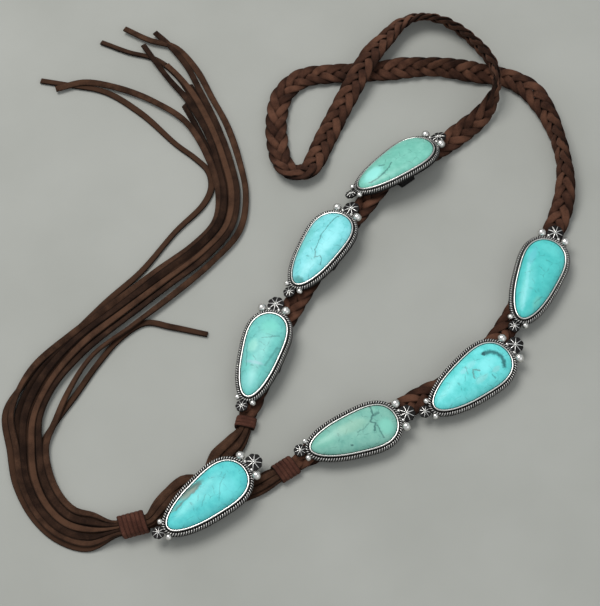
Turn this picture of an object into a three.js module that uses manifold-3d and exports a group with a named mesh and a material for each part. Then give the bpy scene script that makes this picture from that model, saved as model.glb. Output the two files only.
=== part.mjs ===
// A suede lace necklace with seven turquoise conchos, lying on a flat surface.
// Millimetres, +Z up, the surface at z = 0. Five laces are plaited into the neck loop, the plait
// carries the conchos on straps behind them, and the unplaited laces meet in a wrapped fringe.
import * as THREE from 'three';
import { mergeVertices } from 'three/addons/utils/BufferGeometryUtils.js';
import Module from 'manifold-3d';

const wasm = await Module();
wasm.setup();

// ---------------------------------------------------------------- driving dimensions
const CLEAR = 0.3;               // gap kept between pieces that touch
const FLOOR = 0.35;              // height of the laces' underside above the surface

const LACE = { wide: 2.0, thick: 0.9 };             // a lace, drawn in where it is plaited
// A lace swings from edge to edge of the plait and rides over and under the others, `over` being
// the phase in degrees at which it is highest or lowest either side of the middle.
const PLAIT = { strands: 5, swing: 4.2, lift: 1.6, stitch: 36, over: 24, endRoom: 1 };
const PLAIT_HALF = { wide: PLAIT.swing + LACE.wide / 2, high: PLAIT.lift + LACE.thick / 2 };

const PLATE = { margin: 2.8, thick: 0.8 };          // back plate, past the stone all round
const BORDER = { inner: 1.1, foot: 1.2, high: 2.0, valley: 1.3 };  // ridge round the bezel
const BEZEL = { inner: 0.3, outer: 1.0, high: 2.8 };
const STONE = { taper: 0.3, blunt: 3.2, point: 2.6, girdle: 2.4, high: 6.1 };
const DOME_RINGS = [1, 0.8, 0.4];
const STRAP = { long: 8, thick: 1.0, sink: 0.3, straight: 9 };      // strap on a concho's back
const OUTLINE_SIDES = 20;
const OUTLINE_STEP = 0.12;       // half the angle over which the outline's direction is measured

// `middle` is the flower's place round the stone in degrees, and `ballAngle` that of its two balls
// to either side of it. `stand` is the share of a flower's radius that stands off the plate.
const BIG_FLOWER = { radius: 4.0, petals: 8, ballRadius: 2.1, middle: 0, ballAngle: 17 };
const SMALL_FLOWER = { radius: 2.9, petals: 7, ballRadius: 1.4, middle: 176, ballAngle: 15 };
const BALL = { sides: 10, layers: 4, centre: 0.8, lap: 0.7 };
const FLOWER = { low: 0.3, high: 1.9, notch: 0.72, centre: 0.32, stand: 0.76 };

const BUNDLE = { wide: 6.4, thick: 2.3, groove: 0.25, shoulder: 0.1, stack: 2.5, step: 6, lead: 0.5 };
const TURN = { wide: 2.3, high: 1.0, valley: 0.7 };  // one turn of a wrap, proud of its hollow
const WRAP_SIDES = 12;
const WRAP_SQUARENESS = 5;

const TAIL = { wide: 2.7, thick: 1.1, pitch: 3.4, step: 19.2, early: [3.5, 14], spreadFrom: 4, spreadTo: 26 };
const HEAD = { wide: 1.3, thick: 2.1, pitch: 1.42, short: 4, slack: 0.1, rooted: 3, out: 1 };

// Conchos, from the left wrap round the loop, then the one over the join. x and y are the stone's
// centre, heading points from its narrow to its broad end, lean tips it about that line, aside is
// how far the plait lies to the left of that line, and turn moves the broad end's flower round.
const CONCHOS = [
  { node: 1, x: 46.2, y: 68.3, heading: 37, lean: -30, aside: -2.0, length: 42.0, halfWide: 10.2, turn: 0 },
  { node: 2, x: 9.6, y: 23.6, heading: 59, lean: -16, aside: -2.2, length: 41.5, halfWide: 9.2, turn: -4 },
  { node: 3, x: -17.7, y: -29.7, heading: 74, lean: -10, aside: -2.5, length: 41.5, halfWide: 8.2, turn: 2 },
  { node: 4, x: 24.0, y: -67.4, heading: 21, lean: 4, aside: 3.4, length: 40.5, halfWide: 8.4, turn: 2 },
  { node: 5, x: 77.7, y: -41.2, heading: 39, lean: 4, aside: 4.8, length: 42.8, halfWide: 9.0, turn: 0 },
  { node: 6, x: 110.6, y: 8.6, heading: 67, lean: 3, aside: 2.7, length: 42.2, halfWide: 8.7, turn: 0 },
  { node: 7, x: -41.2, y: -97.6, heading: 40, lean: 0, aside: -1.6, length: 41.5, halfWide: 8.6, turn: -1 },
];
const PLAIT_HOLD = { halfWide: PLAIT_HALF.wide, high: 2 * PLAIT_HALF.high };
const BUNDLE_HOLD = { halfWide: BUNDLE.wide / 2 + 1, high: 5.3 };

// Wraps: centre of each, the way its axis points, its number of turns and its hollow.
const WRAPS = {
  left: { x: -24.6, y: -60.6, z: 2.6, heading: 76, turns: 3, halfWide: 3.6, halfHigh: 1.6 },
  right: { x: -6.4, y: -82.6, z: 2.6, heading: 33, turns: 5, halfWide: 3.6, halfHigh: 1.6 },
  fringe: { x: -73.3, y: -108.3, z: 4.1, heading: 195, turns: 6, halfWide: 4.0, halfHigh: 3.0 },
};

// The plait's free stretches. roll turns the band about its own line (0 lies flat, 90 stands on
// edge) and over lifts it above the height at which it would rest.
const AFTER_LEFT_WRAP = [
  { x: -23.6, y: -56.4, roll: 0, over: 0 },
  { x: -20.8, y: -46.8, roll: -4, over: 0.4 },
];
const BETWEEN_3_AND_2 = [
  { x: -2.6, y: -2.4, roll: -8, over: 0.8 },
];
const BETWEEN_2_AND_1 = [
  { x: 28.5, y: 46.5, roll: -8, over: 0.8 },
];
const NECK = [
  { x: 67, y: 81, roll: 0, over: 0.5 },
  { x: 79, y: 90, roll: 14, over: 0 },
  { x: 89.5, y: 98.6, roll: 44, over: 0.6 },
  { x: 96, y: 108.6, roll: 74, over: 3.6 },
  { x: 97.5, y: 119, roll: 86, over: 4.7 },
  { x: 94.5, y: 129, roll: 86, over: 3.9 },
  { x: 89, y: 139, roll: 82, over: 1.2 },
  { x: 81.5, y: 148, roll: 76, over: 0 },
  { x: 71.5, y: 154.6, roll: 66, over: 0 },
  { x: 60, y: 156.5, roll: 54, over: 0 },
  { x: 50.5, y: 152, roll: 40, over: 0.3 },
  { x: 43, y: 143, roll: 22, over: 1.6 },
  { x: 36.5, y: 134.3, roll: 6, over: 4.2 },
  { x: 31.2, y: 124.8, roll: 0, over: 4.8 },
  { x: 26, y: 114.5, roll: 0, over: 4.4 },
  { x: 20.8, y: 104.5, roll: 0, over: 2.2 },
  { x: 15.5, y: 94, roll: 0, over: 0 },
  { x: 10.6, y: 83, roll: 0, over: 0 },
  { x: 7.4, y: 74.6, roll: 10, over: 0 },
  { x: 4.3, y: 69.2, roll: 20, over: 0 },
  { x: -0.8, y: 67.2, roll: 24, over: 0 },
  { x: -5.9, y: 69.2, roll: 20, over: 0 },
  { x: -9, y: 74.6, roll: 10, over: 0 },
  { x: -11, y: 84, roll: 0, over: 0 },
  { x: -11.6, y: 99, roll: 0, over: 0 },
  { x: -8.5, y: 112.5, roll: 0, over: 0 },
  { x: 0.5, y: 121.5, roll: 4, over: 0 },
  { x: 14, y: 124.5, roll: 0, over: 0 },
  { x: 27, y: 125.4, roll: 0, over: 0 },
  { x: 39.5, y: 126.1, roll: 2, over: 0 },
  { x: 50.5, y: 126.4, roll: 34, over: 0 },
  { x: 61.5, y: 126.5, roll: 62, over: 0 },
  { x: 72, y: 126.2, roll: 64, over: 0 },
  { x: 83, y: 124.8, roll: 38, over: 0 },
  { x: 94, y: 124.2, roll: 0, over: 0 },
  { x: 104.5, y: 122, roll: 0, over: 0 },
  { x: 114, y: 114.5, roll: 20, over: 0 },
  { x: 121, y: 102, roll: 48, over: 0 },
  { x: 126, y: 86.5, roll: 70, over: 0 },
  { x: 128.2, y: 71, roll: 64, over: 0 },
  { x: 127.8, y: 57, roll: 34, over: 0 },
  { x: 124.8, y: 45, roll: 8, over: 0 },
  { x: 119.4, y: 33, roll: 0, over: 0.6 },
];
const BETWEEN_6_AND_5 = [
  { x: 98.5, y: -10, roll: -3, over: 0.8 },
  { x: 90.5, y: -21.5, roll: -3, over: 0.8 },
];
const BETWEEN_5_AND_4 = [
  { x: 56.5, y: -48, roll: -3, over: 0.8 },
  { x: 44, y: -55.5, roll: -3, over: 0.8 },
];
const BEFORE_RIGHT_WRAP = [
  { x: 6, y: -74.0, roll: -2, over: 0.3 },
  { x: -0.4, y: -78.9, roll: 0, over: 0 },
];

// The unplaited laces between the wraps: the centre line of each bundle from wrap to wrap, and how
// far its laces spread there, 1 being as tight as in the wraps.
const LEFT_BUNDLE = [
  { x: -29.5, y: -70.4, z: 1.8, spread: 1.3 },
  { x: -35, y: -77, z: 1.6, spread: 1.6 },
  { x: -38.6, y: -84, z: 1.6, spread: 1.25 },
  { x: -43.2, y: -88.8, z: 1.6, spread: 1.05 },
  { x: -50.7, y: -90, z: 2, spread: 1.4 },
  { x: -56.4, y: -94.4, z: 3.8, spread: 1 },
  { x: -61.5, y: -100.8, z: 5.3, spread: 1 },
];
const RIGHT_BUNDLE = [
  { x: -18.5, y: -90, z: 2.4, spread: 1.2 },
  { x: -26.2, y: -92.6, z: 2.5, spread: 1.5 },
  { x: -33.8, y: -95.2, z: 2.5, spread: 1 },
  { x: -40.2, y: -98.9, z: 2.5, spread: 1 },
  { x: -46.8, y: -103.1, z: 2.5, spread: 1 },
  { x: -56, y: -105.2, z: 2.6, spread: 1 },
];

// The line that the fringe follows, from the wrap round the bend and up the slope to the top.
const FRINGE_LINE = [
  { x: -80.5, y: -110, stretch: 'bend' },
  { x: -92, y: -111, stretch: 'bend' },
  { x: -103, y: -108, stretch: 'bend' },
  { x: -112, y: -100, stretch: 'bend' },
  { x: -119, y: -87, stretch: 'bend' },
  { x: -122, y: -72, stretch: 'bend' },
  { x: -122.5, y: -57, stretch: 'turn' },
  { x: -116, y: -40, stretch: 'turn' },
  { x: -102, y: -22, stretch: 'slope' },
  { x: -84, y: -6, stretch: 'slope' },
  { x: -65, y: 10.5, stretch: 'slope' },
  { x: -46.5, y: 26, stretch: 'rise' },
  { x: -36, y: 40, stretch: 'rise' },
  { x: -34, y: 56, stretch: 'rise' },
  { x: -38, y: 75, stretch: 'rise' },
  { x: -44, y: 92, stretch: 'rise' },
];

// The ten tails. slot is a tail's place across the fringe (2 is the left edge going along it),
// layer its height (0 lies on the surface), turn and slope how far it strays to the left there,
// follow how many rows of the line it keeps to, and tip the points of its own end.
const TAILS = [
  { slot: 2, layer: 0, turn: 3, slope: 0, follow: 7,
    tip: [[-127, -42], [-119, -28.5], [-106, -16], [-91.5, -0.5], [-76, 15], [-60, 37], [-46.5, 52],
      [-43, 61], [-44.5, 70], [-51, 77.5], [-60, 85], [-78, 102], [-97, 114], [-116, 118], [-130, 121]] },
  { slot: 1, layer: 0, turn: 2, slope: 0.5, follow: 15, tip: [[-49, 89], [-58, 107]] },
  { slot: 0, layer: 0, turn: 0, slope: 0, follow: 16,
    tip: [[-53, 111], [-62, 125], [-73, 134], [-87, 138], [-101, 144]] },
  { slot: -1, layer: 0, turn: 0, slope: 0, follow: 16, tip: [[-49, 108], [-55, 119]] },
  { slot: -2, layer: 0, turn: 0, slope: 0, follow: 6,
    tip: [[-111, -61], [-102, -47], [-93, -31.5], [-83.5, -18.5], [-72, -10.5], [-60, -12.5],
      [-43, -16.5]] },
  { slot: 2, layer: 1, turn: 2.5, slope: 0, follow: 15,
    tip: [[-56, 97], [-73, 109], [-92, 117], [-108, 120], [-122, 116]] },
  { slot: 1, layer: 1, turn: 0, slope: 0, follow: 16, tip: [[-56, 109], [-65, 121], [-79, 142]] },
  { slot: 0, layer: 1, turn: 0, slope: 0, follow: 16, tip: [[-52.5, 111], [-60, 122], [-67, 130]] },
  { slot: -1, layer: 1, turn: 0, slope: -0.5, follow: 16,
    tip: [[-49, 113], [-57, 129], [-66, 141], [-74, 149]] },
  { slot: -2, layer: 1, turn: -4.5, slope: -1.5, follow: 16,
    tip: [[-44.5, 110], [-53, 128], [-63, 140.5], [-76, 145], [-89, 152]] },
];

// ---------------------------------------------------------------- small helpers
const UP = new THREE.Vector3(0, 0, 1);
const radians = THREE.MathUtils.degToRad;
const point = (x, y, z) => new THREE.Vector3(x, y, z);

function bareMesh(geometry) {
  geometry.deleteAttribute('normal');
  geometry.deleteAttribute('uv');
  return mergeVertices(geometry, 1e-4);
}

function fuse(geometries) {
  const solids = geometries.map((geometry) => {
    const bare = bareMesh(geometry);
    const vertProperties = new Float32Array(bare.attributes.position.array);
    const triVerts = new Uint32Array(bare.index.array);
    return new wasm.Manifold(new wasm.Mesh({ numProp: 3, vertProperties, triVerts }));
  });
  const joined = solids.reduce((sum, solid) => sum.add(solid)).getMesh();
  const geometry = new THREE.BufferGeometry();
  geometry.setAttribute('position', new THREE.BufferAttribute(joined.vertProperties, 3));
  geometry.setIndex(new THREE.BufferAttribute(joined.triVerts, 1));
  return geometry;
}

// Skin over rings of equally many points, each ring counter-clockwise seen from the next one.
function skin(rings, ends) {
  const sides = rings[0].length;
  const positions = rings.flat().flatMap((corner) => corner.toArray());
  const indices = [];
  const last = ends === 'joined' ? rings.length : rings.length - 1;
  for (let ring = 0; ring < last; ring += 1) {
    const low = ring * sides;
    const high = ((ring + 1) % rings.length) * sides;
    for (let side = 0; side < sides; side += 1) {
      const next = (side + 1) % sides;
      indices.push(low + side, low + next, high + next);
      indices.push(low + side, high + next, high + side);
    }
  }
  if (ends === 'capped') {
    const top = (rings.length - 1) * sides;
    for (let side = 1; side < sides - 1; side += 1) {
      indices.push(0, side + 1, side);
      indices.push(top, top + side, top + side + 1);
    }
  }
  const geometry = new THREE.BufferGeometry();
  geometry.setAttribute('position', new THREE.Float32BufferAttribute(positions, 3));
  geometry.setIndex(indices);
  return geometry;
}

// A path that carries its own frames: the section's x runs along `wide` and its y along `high`,
// and their lengths scale it, so that a lace can turn and change its width as it goes.
class FramedPath extends THREE.Curve {
  constructor(stations) {
    super();
    this.stations = stations;
  }

  getSpacedPoints() {
    return this.stations.map((station) => station.point);
  }

  computeFrenetFrames() {
    return {
      tangents: this.stations.map((station) => station.along),
      normals: this.stations.map((station) => station.wide),
      binormals: this.stations.map((station) => station.high),
    };
  }
}

function extrudeAlong(outline, stations) {
  const options = { steps: stations.length - 1, bevelEnabled: false, extrudePath: new FramedPath(stations) };
  return new THREE.ExtrudeGeometry(outline, options);
}

const UNIT_SECTION = new THREE.Shape([
  new THREE.Vector2(-0.5, -0.5),
  new THREE.Vector2(0.5, -0.5),
  new THREE.Vector2(0.5, 0.5),
  new THREE.Vector2(-0.5, 0.5),
]);

function material(name, color, roughness, metalness) {
  return new THREE.MeshStandardMaterial({ name, color, roughness, metalness });
}

const SUEDE = material('suede', 0x462d21, 0.95, 0);
const WRAP_SUEDE = material('wrap_suede', 0x5a3529, 0.92, 0);
const SILVER = material('silver', 0xb9b7b0, 0.35, 1);
const TURQUOISE = material('turquoise', 0x5cc7c4, 0.25, 0);

function named(name, geometry, surface) {
  const mesh = new THREE.Mesh(geometry, surface);
  mesh.name = name;
  return mesh;
}

// ---------------------------------------------------------------- conchos
const holdOf = (concho) => (concho.node === 7 ? BUNDLE_HOLD : PLAIT_HOLD);
const strapDepth = (concho) => 2 * CLEAR + holdOf(concho).high + STRAP.thick;

// Height of the plate's underside that puts the strap's lowest corner on the surface.
function riseOf(concho) {
  const lean = radians(concho.lean);
  const reach = holdOf(concho).halfWide + CLEAR + STRAP.thick;
  const corners = [concho.aside - reach, concho.aside + reach];
  const lowest = corners.map((y) => y * Math.sin(lean) - strapDepth(concho) * Math.cos(lean));
  return -Math.min(...lowest);
}

function conchoMatrix(concho) {
  const turn = new THREE.Matrix4().makeRotationZ(radians(concho.heading));
  const tip = new THREE.Matrix4().makeRotationX(radians(concho.lean));
  return turn.multiply(tip).setPosition(concho.x, concho.y, riseOf(concho));
}

// A teardrop: `along` runs from -1 at the narrow end to 1 at the broad one, which is blunter.
function teardropPoint(concho, angle) {
  const along = Math.cos(angle);
  const blunt = along > 0 ? STONE.blunt : STONE.point;
  const fullness = Math.sqrt(Math.max(0, 1 - Math.abs(along) ** blunt)) * (1 + STONE.taper * along);
  const across = Math.sign(Math.sin(angle)) * concho.halfWide * fullness;
  return new THREE.Vector2(along * concho.length / 2, across);
}

// A point of the stone's outline moved outwards by `grow`.
function grownPoint(concho, angle, grow) {
  const before = teardropPoint(concho, angle - OUTLINE_STEP);
  const after = teardropPoint(concho, angle + OUTLINE_STEP);
  const outward = new THREE.Vector2(after.y - before.y, before.x - after.x).normalize();
  return teardropPoint(concho, angle).addScaledVector(outward, grow);
}

function teardrop(concho, grow, z) {
  const ring = [];
  for (let side = 0; side < OUTLINE_SIDES; side += 1) {
    const corner = grownPoint(concho, 2 * Math.PI * side / OUTLINE_SIDES, grow);
    ring.push(point(corner.x, corner.y, z));
  }
  return ring;
}

function plateAndBezel(concho) {
  const ridge = (PLATE.margin + BORDER.inner) / 2;
  return skin([
    teardrop(concho, PLATE.margin, 0),
    teardrop(concho, PLATE.margin, BORDER.foot),
    teardrop(concho, ridge, BORDER.high),
    teardrop(concho, BEZEL.outer, BORDER.valley),
    teardrop(concho, BEZEL.outer, BEZEL.high),
    teardrop(concho, BEZEL.inner, BEZEL.high),
    teardrop(concho, BEZEL.inner, PLATE.thick),
  ], 'capped');
}

function stone(concho) {
  const base = PLATE.thick + CLEAR;
  const outline = teardrop(concho, 0, 0);
  const dome = DOME_RINGS.map((share) => {
    const z = STONE.girdle + (STONE.high - STONE.girdle) * Math.sqrt(1 - share * share);
    return outline.map((corner) => point(corner.x * share, corner.y * share, z));
  });
  return skin([outline.map((corner) => point(corner.x, corner.y, base)), ...dome], 'capped');
}

function strap(concho) {
  const hold = holdOf(concho);
  const inner = hold.halfWide + CLEAR;
  const outer = inner + STRAP.thick;
  const depth = strapDepth(concho);
  const frame = new THREE.Shape([
    new THREE.Vector2(concho.aside - outer, -depth),
    new THREE.Vector2(concho.aside + outer, -depth),
    new THREE.Vector2(concho.aside + outer, STRAP.sink),
    new THREE.Vector2(concho.aside - outer, STRAP.sink),
  ]);
  frame.holes.push(new THREE.Path([
    new THREE.Vector2(concho.aside - inner, STRAP.thick - depth),
    new THREE.Vector2(concho.aside - inner, 0),
    new THREE.Vector2(concho.aside + inner, 0),
    new THREE.Vector2(concho.aside + inner, STRAP.thick - depth),
  ]));
  const geometry = new THREE.ExtrudeGeometry(frame, { depth: STRAP.long, bevelEnabled: false });
  geometry.rotateX(Math.PI / 2);
  geometry.rotateZ(Math.PI / 2);
  geometry.translate(-STRAP.long / 2, 0, 0);
  return geometry;
}

// A cast flower: petals in relief round a small ball.
function flower(concho, kind, middle) {
  const { x, y } = grownPoint(concho, radians(middle), PLATE.margin + FLOWER.stand * kind.radius);
  const star = new THREE.Shape();
  for (let tip = 0; tip < 2 * kind.petals; tip += 1) {
    const angle = Math.PI * tip / kind.petals;
    const reach = tip % 2 ? kind.radius * FLOWER.notch : kind.radius;
    const corner = [reach * Math.cos(angle), reach * Math.sin(angle)];
    if (tip === 0) star.moveTo(...corner);
    else star.lineTo(...corner);
  }
  star.closePath();
  const petals = new THREE.ExtrudeGeometry(star, { depth: FLOWER.high - FLOWER.low, bevelEnabled: false });
  petals.translate(x, y, FLOWER.low);
  const heart = new THREE.OctahedronGeometry(kind.radius * FLOWER.centre, 0).translate(x, y, FLOWER.high);
  return [petals, heart];
}

// The two balls soldered to the border on either side of a flower.
function flankingBalls(concho, kind, middle) {
  return [-1, 1].map((side) => {
    const radius = kind.ballRadius;
    const grow = PLATE.margin + radius - BALL.lap;
    const place = grownPoint(concho, radians(middle + side * kind.ballAngle), grow);
    const shape = new THREE.SphereGeometry(radius, BALL.sides, BALL.layers).rotateX(Math.PI / 2);
    return shape.translate(place.x, place.y, radius * BALL.centre);
  });
}

function setting(concho) {
  const broadEnd = BIG_FLOWER.middle + concho.turn;
  return fuse([
    plateAndBezel(concho),
    strap(concho),
    ...flower(concho, BIG_FLOWER, broadEnd),
    ...flower(concho, SMALL_FLOWER, SMALL_FLOWER.middle),
    ...flankingBalls(concho, BIG_FLOWER, broadEnd),
    ...flankingBalls(concho, SMALL_FLOWER, SMALL_FLOWER.middle),
  ]);
}

function conchoGroup(concho) {
  const group = new THREE.Group();
  group.applyMatrix4(conchoMatrix(concho));
  group.add(named(`setting_${concho.node}`, setting(concho), SILVER));
  group.add(named(`stone_${concho.node}`, stone(concho), TURQUOISE));
  return group;
}

// ---------------------------------------------------------------- plait
const restHeight = (roll) => FLOOR
  + PLAIT_HALF.wide * Math.abs(Math.sin(radians(roll)))
  + PLAIT_HALF.high * Math.cos(radians(roll));

const freeRow = (row) => ({ at: point(row.x, row.y, restHeight(row.roll) + row.over), roll: row.roll });

// The straight stretch behind a concho; `way` is 1 along the concho's heading and -1 against it.
function behind(node, way) {
  const concho = CONCHOS.find((candidate) => candidate.node === node);
  const matrix = conchoMatrix(concho);
  const down = -CLEAR - PLAIT_HALF.high;
  return [-STRAP.straight, 0, STRAP.straight].map((along) => ({
    at: point(way * along, concho.aside, down).applyMatrix4(matrix),
    roll: way * concho.lean,
  }));
}

const ROUTE_ROWS = [
  ...AFTER_LEFT_WRAP.map(freeRow),
  ...behind(3, 1),
  ...BETWEEN_3_AND_2.map(freeRow),
  ...behind(2, 1),
  ...BETWEEN_2_AND_1.map(freeRow),
  ...behind(1, 1),
  ...NECK.map(freeRow),
  ...behind(6, -1),
  ...BETWEEN_6_AND_5.map(freeRow),
  ...behind(5, -1),
  ...BETWEEN_5_AND_4.map(freeRow),
  ...behind(4, -1),
  ...BEFORE_RIGHT_WRAP.map(freeRow),
];
const ROUTE = new THREE.CatmullRomCurve3(ROUTE_ROWS.map((row) => row.at), false, 'centripetal');
ROUTE.arcLengthDivisions = 1200;
const ROUTE_LENGTH = ROUTE.getLength();

function bandFrame(distance) {
  const share = THREE.MathUtils.clamp(distance / ROUTE_LENGTH, 0, 1);
  const along = ROUTE.getTangentAt(share);
  const row = ROUTE.getUtoTmapping(share) * (ROUTE_ROWS.length - 1);
  const before = Math.min(Math.floor(row), ROUTE_ROWS.length - 2);
  const roll = THREE.MathUtils.lerp(ROUTE_ROWS[before].roll, ROUTE_ROWS[before + 1].roll, row - before);
  const across = new THREE.Vector3().crossVectors(UP, along).normalize();
  across.applyAxisAngle(along, radians(roll));
  return { at: ROUTE.getPointAt(share), across, up: new THREE.Vector3().crossVectors(along, across) };
}

// Where one lace is seen and how high it rides, at each bight and each crossing along the plait.
function laceKeys(strand) {
  const keys = [];
  const halfTurns = Math.ceil(2 * ROUTE_LENGTH / PLAIT.stitch) + 2;
  for (let half = -2; half <= halfTurns; half += 1) {
    keys.push({ phase: 180 * half - PLAIT.over, ride: -1 });
    keys.push({ phase: 180 * half + PLAIT.over, ride: 1 });
    keys.push({ phase: 180 * half + 90, ride: 0 });
  }
  return keys.map((key) => ({
    ...key,
    distance: (key.phase / 360 - strand / PLAIT.strands) * PLAIT.stitch,
  }));
}

function laceStation(key) {
  const frame = bandFrame(key.distance);
  const at = frame.at.clone();
  at.addScaledVector(frame.across, PLAIT.swing * Math.sin(radians(key.phase)));
  at.addScaledVector(frame.up, PLAIT.lift * key.ride);
  return { at, across: frame.across };
}

// Keys inside the route, with one more at either end where the lace is cut off square.
function keysOnRoute(strand) {
  const keys = laceKeys(strand);
  const cut = (distance) => {
    const index = keys.findIndex((key) => key.distance > distance);
    const [before, after] = [keys[index - 1], keys[index]];
    const share = (distance - before.distance) / (after.distance - before.distance);
    const blend = (name) => THREE.MathUtils.lerp(before[name], after[name], share);
    return { phase: blend('phase'), ride: blend('ride'), distance };
  };
  const onRoute = (distance) => distance > PLAIT.endRoom && distance < ROUTE_LENGTH - PLAIT.endRoom;
  const inside = keys.filter((key) => onRoute(key.distance));
  return [cut(0), ...inside, cut(ROUTE_LENGTH)];
}

function lace(strand) {
  const places = keysOnRoute(strand).map(laceStation);
  const stations = places.map((place, index) => {
    const before = places[Math.max(index - 1, 0)].at;
    const after = places[Math.min(index + 1, places.length - 1)].at;
    const along = new THREE.Vector3().subVectors(after, before).normalize();
    const high = new THREE.Vector3().crossVectors(along, place.across).normalize();
    const wide = new THREE.Vector3().crossVectors(high, along);
    return {
      point: place.at,
      along,
      wide: wide.multiplyScalar(LACE.wide),
      high: high.multiplyScalar(LACE.thick),
    };
  });
  return extrudeAlong(UNIT_SECTION, stations);
}

// ---------------------------------------------------------------- bundles, wraps and fringe
// Stations along a lace that lies level from side to side, `early` being the distances of extra
// ones. Its size there is worked out from the distance and from the place among the points.
function flatStations(points, step, sizeAt, early = []) {
  const curve = new THREE.CatmullRomCurve3(points, false, 'centripetal');
  const length = curve.getLength();
  const first = early.length ? early[early.length - 1] : 0;
  const steps = Math.round((length - first) / step);
  const distances = [0, ...early];
  for (let count = 1; count <= steps; count += 1) {
    distances.push(first + (length - first) * count / steps);
  }
  return distances.map((distance) => {
    const share = Math.min(1, distance / length);
    const along = curve.getTangentAt(share);
    const wide = new THREE.Vector3().crossVectors(UP, along).normalize();
    const high = new THREE.Vector3().crossVectors(along, wide);
    const size = sizeAt(distance, curve.getUtoTmapping(share) * (points.length - 1));
    return {
      point: curve.getPointAt(share),
      along,
      wide: wide.multiplyScalar(size.wide),
      high: high.multiplyScalar(size.high),
    };
  });
}

// Three laces with two on top of them, as one outline.
function stackOutline() {
  const third = BUNDLE.wide / 3;
  const low = -BUNDLE.thick / 2;
  const dip = low + BUNDLE.groove;
  const corners = [[-1.5 * third, low], [-0.5 * third, dip], [0.5 * third, dip], [1.5 * third, low],
    [1.5 * third, 0], [third, BUNDLE.shoulder], [third, -low], [0, -dip], [-third, -low],
    [-third, BUNDLE.shoulder], [-1.5 * third, 0]];
  return new THREE.Shape(corners.map(([x, y]) => new THREE.Vector2(x, y)));
}

// A point on a wrap's axis, `along` it from its middle and `high` above it.
function onAxis(sizes, along, high = 0) {
  const heading = radians(sizes.heading);
  return point(
    sizes.x + along * Math.cos(heading),
    sizes.y + along * Math.sin(heading),
    sizes.z + high,
  );
}

const halfLong = (sizes) => sizes.turns * TURN.wide / 2;

function bundle(from, rows, stack) {
  const fringe = WRAPS.fringe;
  const points = [
    onAxis(from, halfLong(from) - CLEAR),
    onAxis(from, -halfLong(from) - BUNDLE.lead),
    ...rows.map((row) => point(row.x, row.y, row.z)),
    onAxis(fringe, -halfLong(fringe) - BUNDLE.lead, stack),
    onAxis(fringe, -halfLong(fringe) + HEAD.short - CLEAR, stack),
  ];
  const spreads = [1, 1, ...rows.map((row) => row.spread), 1, 1];
  const sizeAt = (distance, place) => {
    const before = Math.min(Math.floor(place), spreads.length - 2);
    return { wide: THREE.MathUtils.lerp(spreads[before], spreads[before + 1], place - before), high: 1 };
  };
  const stations = flatStations(points, BUNDLE.step, sizeAt, [2 * halfLong(from)]);
  return extrudeAlong(stackOutline(), stations);
}

function wrapRing(hollow, proud, along) {
  const ring = [];
  for (let side = 0; side < WRAP_SIDES; side += 1) {
    const angle = 2 * Math.PI * (side + 0.5) / WRAP_SIDES;
    const [c, s] = [Math.cos(angle), Math.sin(angle)];
    const squarer = (value) => Math.sign(value) * Math.abs(value) ** (2 / WRAP_SQUARENESS);
    ring.push(point(
      along,
      squarer(c) * hollow.halfWide + c * proud,
      squarer(s) * hollow.halfHigh + s * proud,
    ));
  }
  return ring;
}

function wrap(sizes) {
  const half = halfLong(sizes);
  const rings = [];
  for (let edge = 0; edge <= 2 * sizes.turns; edge += 1) {
    const proud = edge % 2 ? TURN.high : TURN.valley;
    rings.push(wrapRing(sizes, proud, edge * TURN.wide / 2 - half));
  }
  rings.push(wrapRing(sizes, 0, half));
  rings.push(wrapRing(sizes, 0, -half));
  const geometry = skin(rings, 'joined');
  geometry.rotateZ(radians(sizes.heading));
  return geometry.translate(sizes.x, sizes.y, sizes.z);
}

// The head fills the fringe wrap past the bundles' ends, and the ten tails come out of it on edge,
// five over five.
function head() {
  const half = halfLong(WRAPS.fringe);
  const ends = [onAxis(WRAPS.fringe, HEAD.short - half), onAxis(WRAPS.fringe, half)];
  const wide = TAILS.length / 2 * HEAD.pitch - HEAD.slack;
  const high = 2 * HEAD.thick;
  return extrudeAlong(UNIT_SECTION, flatStations(ends, 2 * half, () => ({ wide, high })));
}

function tailPoints(tail) {
  const half = halfLong(WRAPS.fringe);
  const headAlong = onAxis(WRAPS.fringe, 1).sub(onAxis(WRAPS.fringe, 0));
  const headAcross = new THREE.Vector3().crossVectors(UP, headAlong);
  const start = (along) => onAxis(WRAPS.fringe, along, (tail.layer - 0.5) * HEAD.thick)
    .addScaledVector(headAcross, tail.slot * HEAD.pitch);
  const rest = FLOOR + TAIL.thick / 2 + tail.layer * (TAIL.thick + CLEAR);
  const line = FRINGE_LINE.map((row) => point(row.x, row.y, rest));
  const curve = new THREE.CatmullRomCurve3(line, false, 'centripetal');
  const across = tail.slot * TAIL.pitch + (tail.layer ? -1 : 1) * TAIL.pitch / 4;
  const points = [start(half - HEAD.rooted), start(half + HEAD.out)];
  for (let index = 1; index < tail.follow; index += 1) {
    const along = curve.getTangent(index / (line.length - 1));
    const left = new THREE.Vector3().crossVectors(UP, along);
    const stray = { bend: 0, turn: tail.turn, slope: tail.slope, rise: 0 }[FRINGE_LINE[index].stretch];
    points.push(line[index].clone().addScaledVector(left, across + stray));
  }
  tail.tip.forEach(([x, y]) => points.push(point(x, y, rest)));
  return points;
}

function tail(row) {
  const sizeAt = (distance) => {
    const spread = THREE.MathUtils.smoothstep(distance, TAIL.spreadFrom, TAIL.spreadTo);
    return {
      wide: THREE.MathUtils.lerp(HEAD.wide, TAIL.wide, spread),
      high: THREE.MathUtils.lerp(HEAD.thick - HEAD.slack, TAIL.thick, spread),
    };
  };
  return extrudeAlong(UNIT_SECTION, flatStations(tailPoints(row), TAIL.step, sizeAt, TAIL.early));
}

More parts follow.
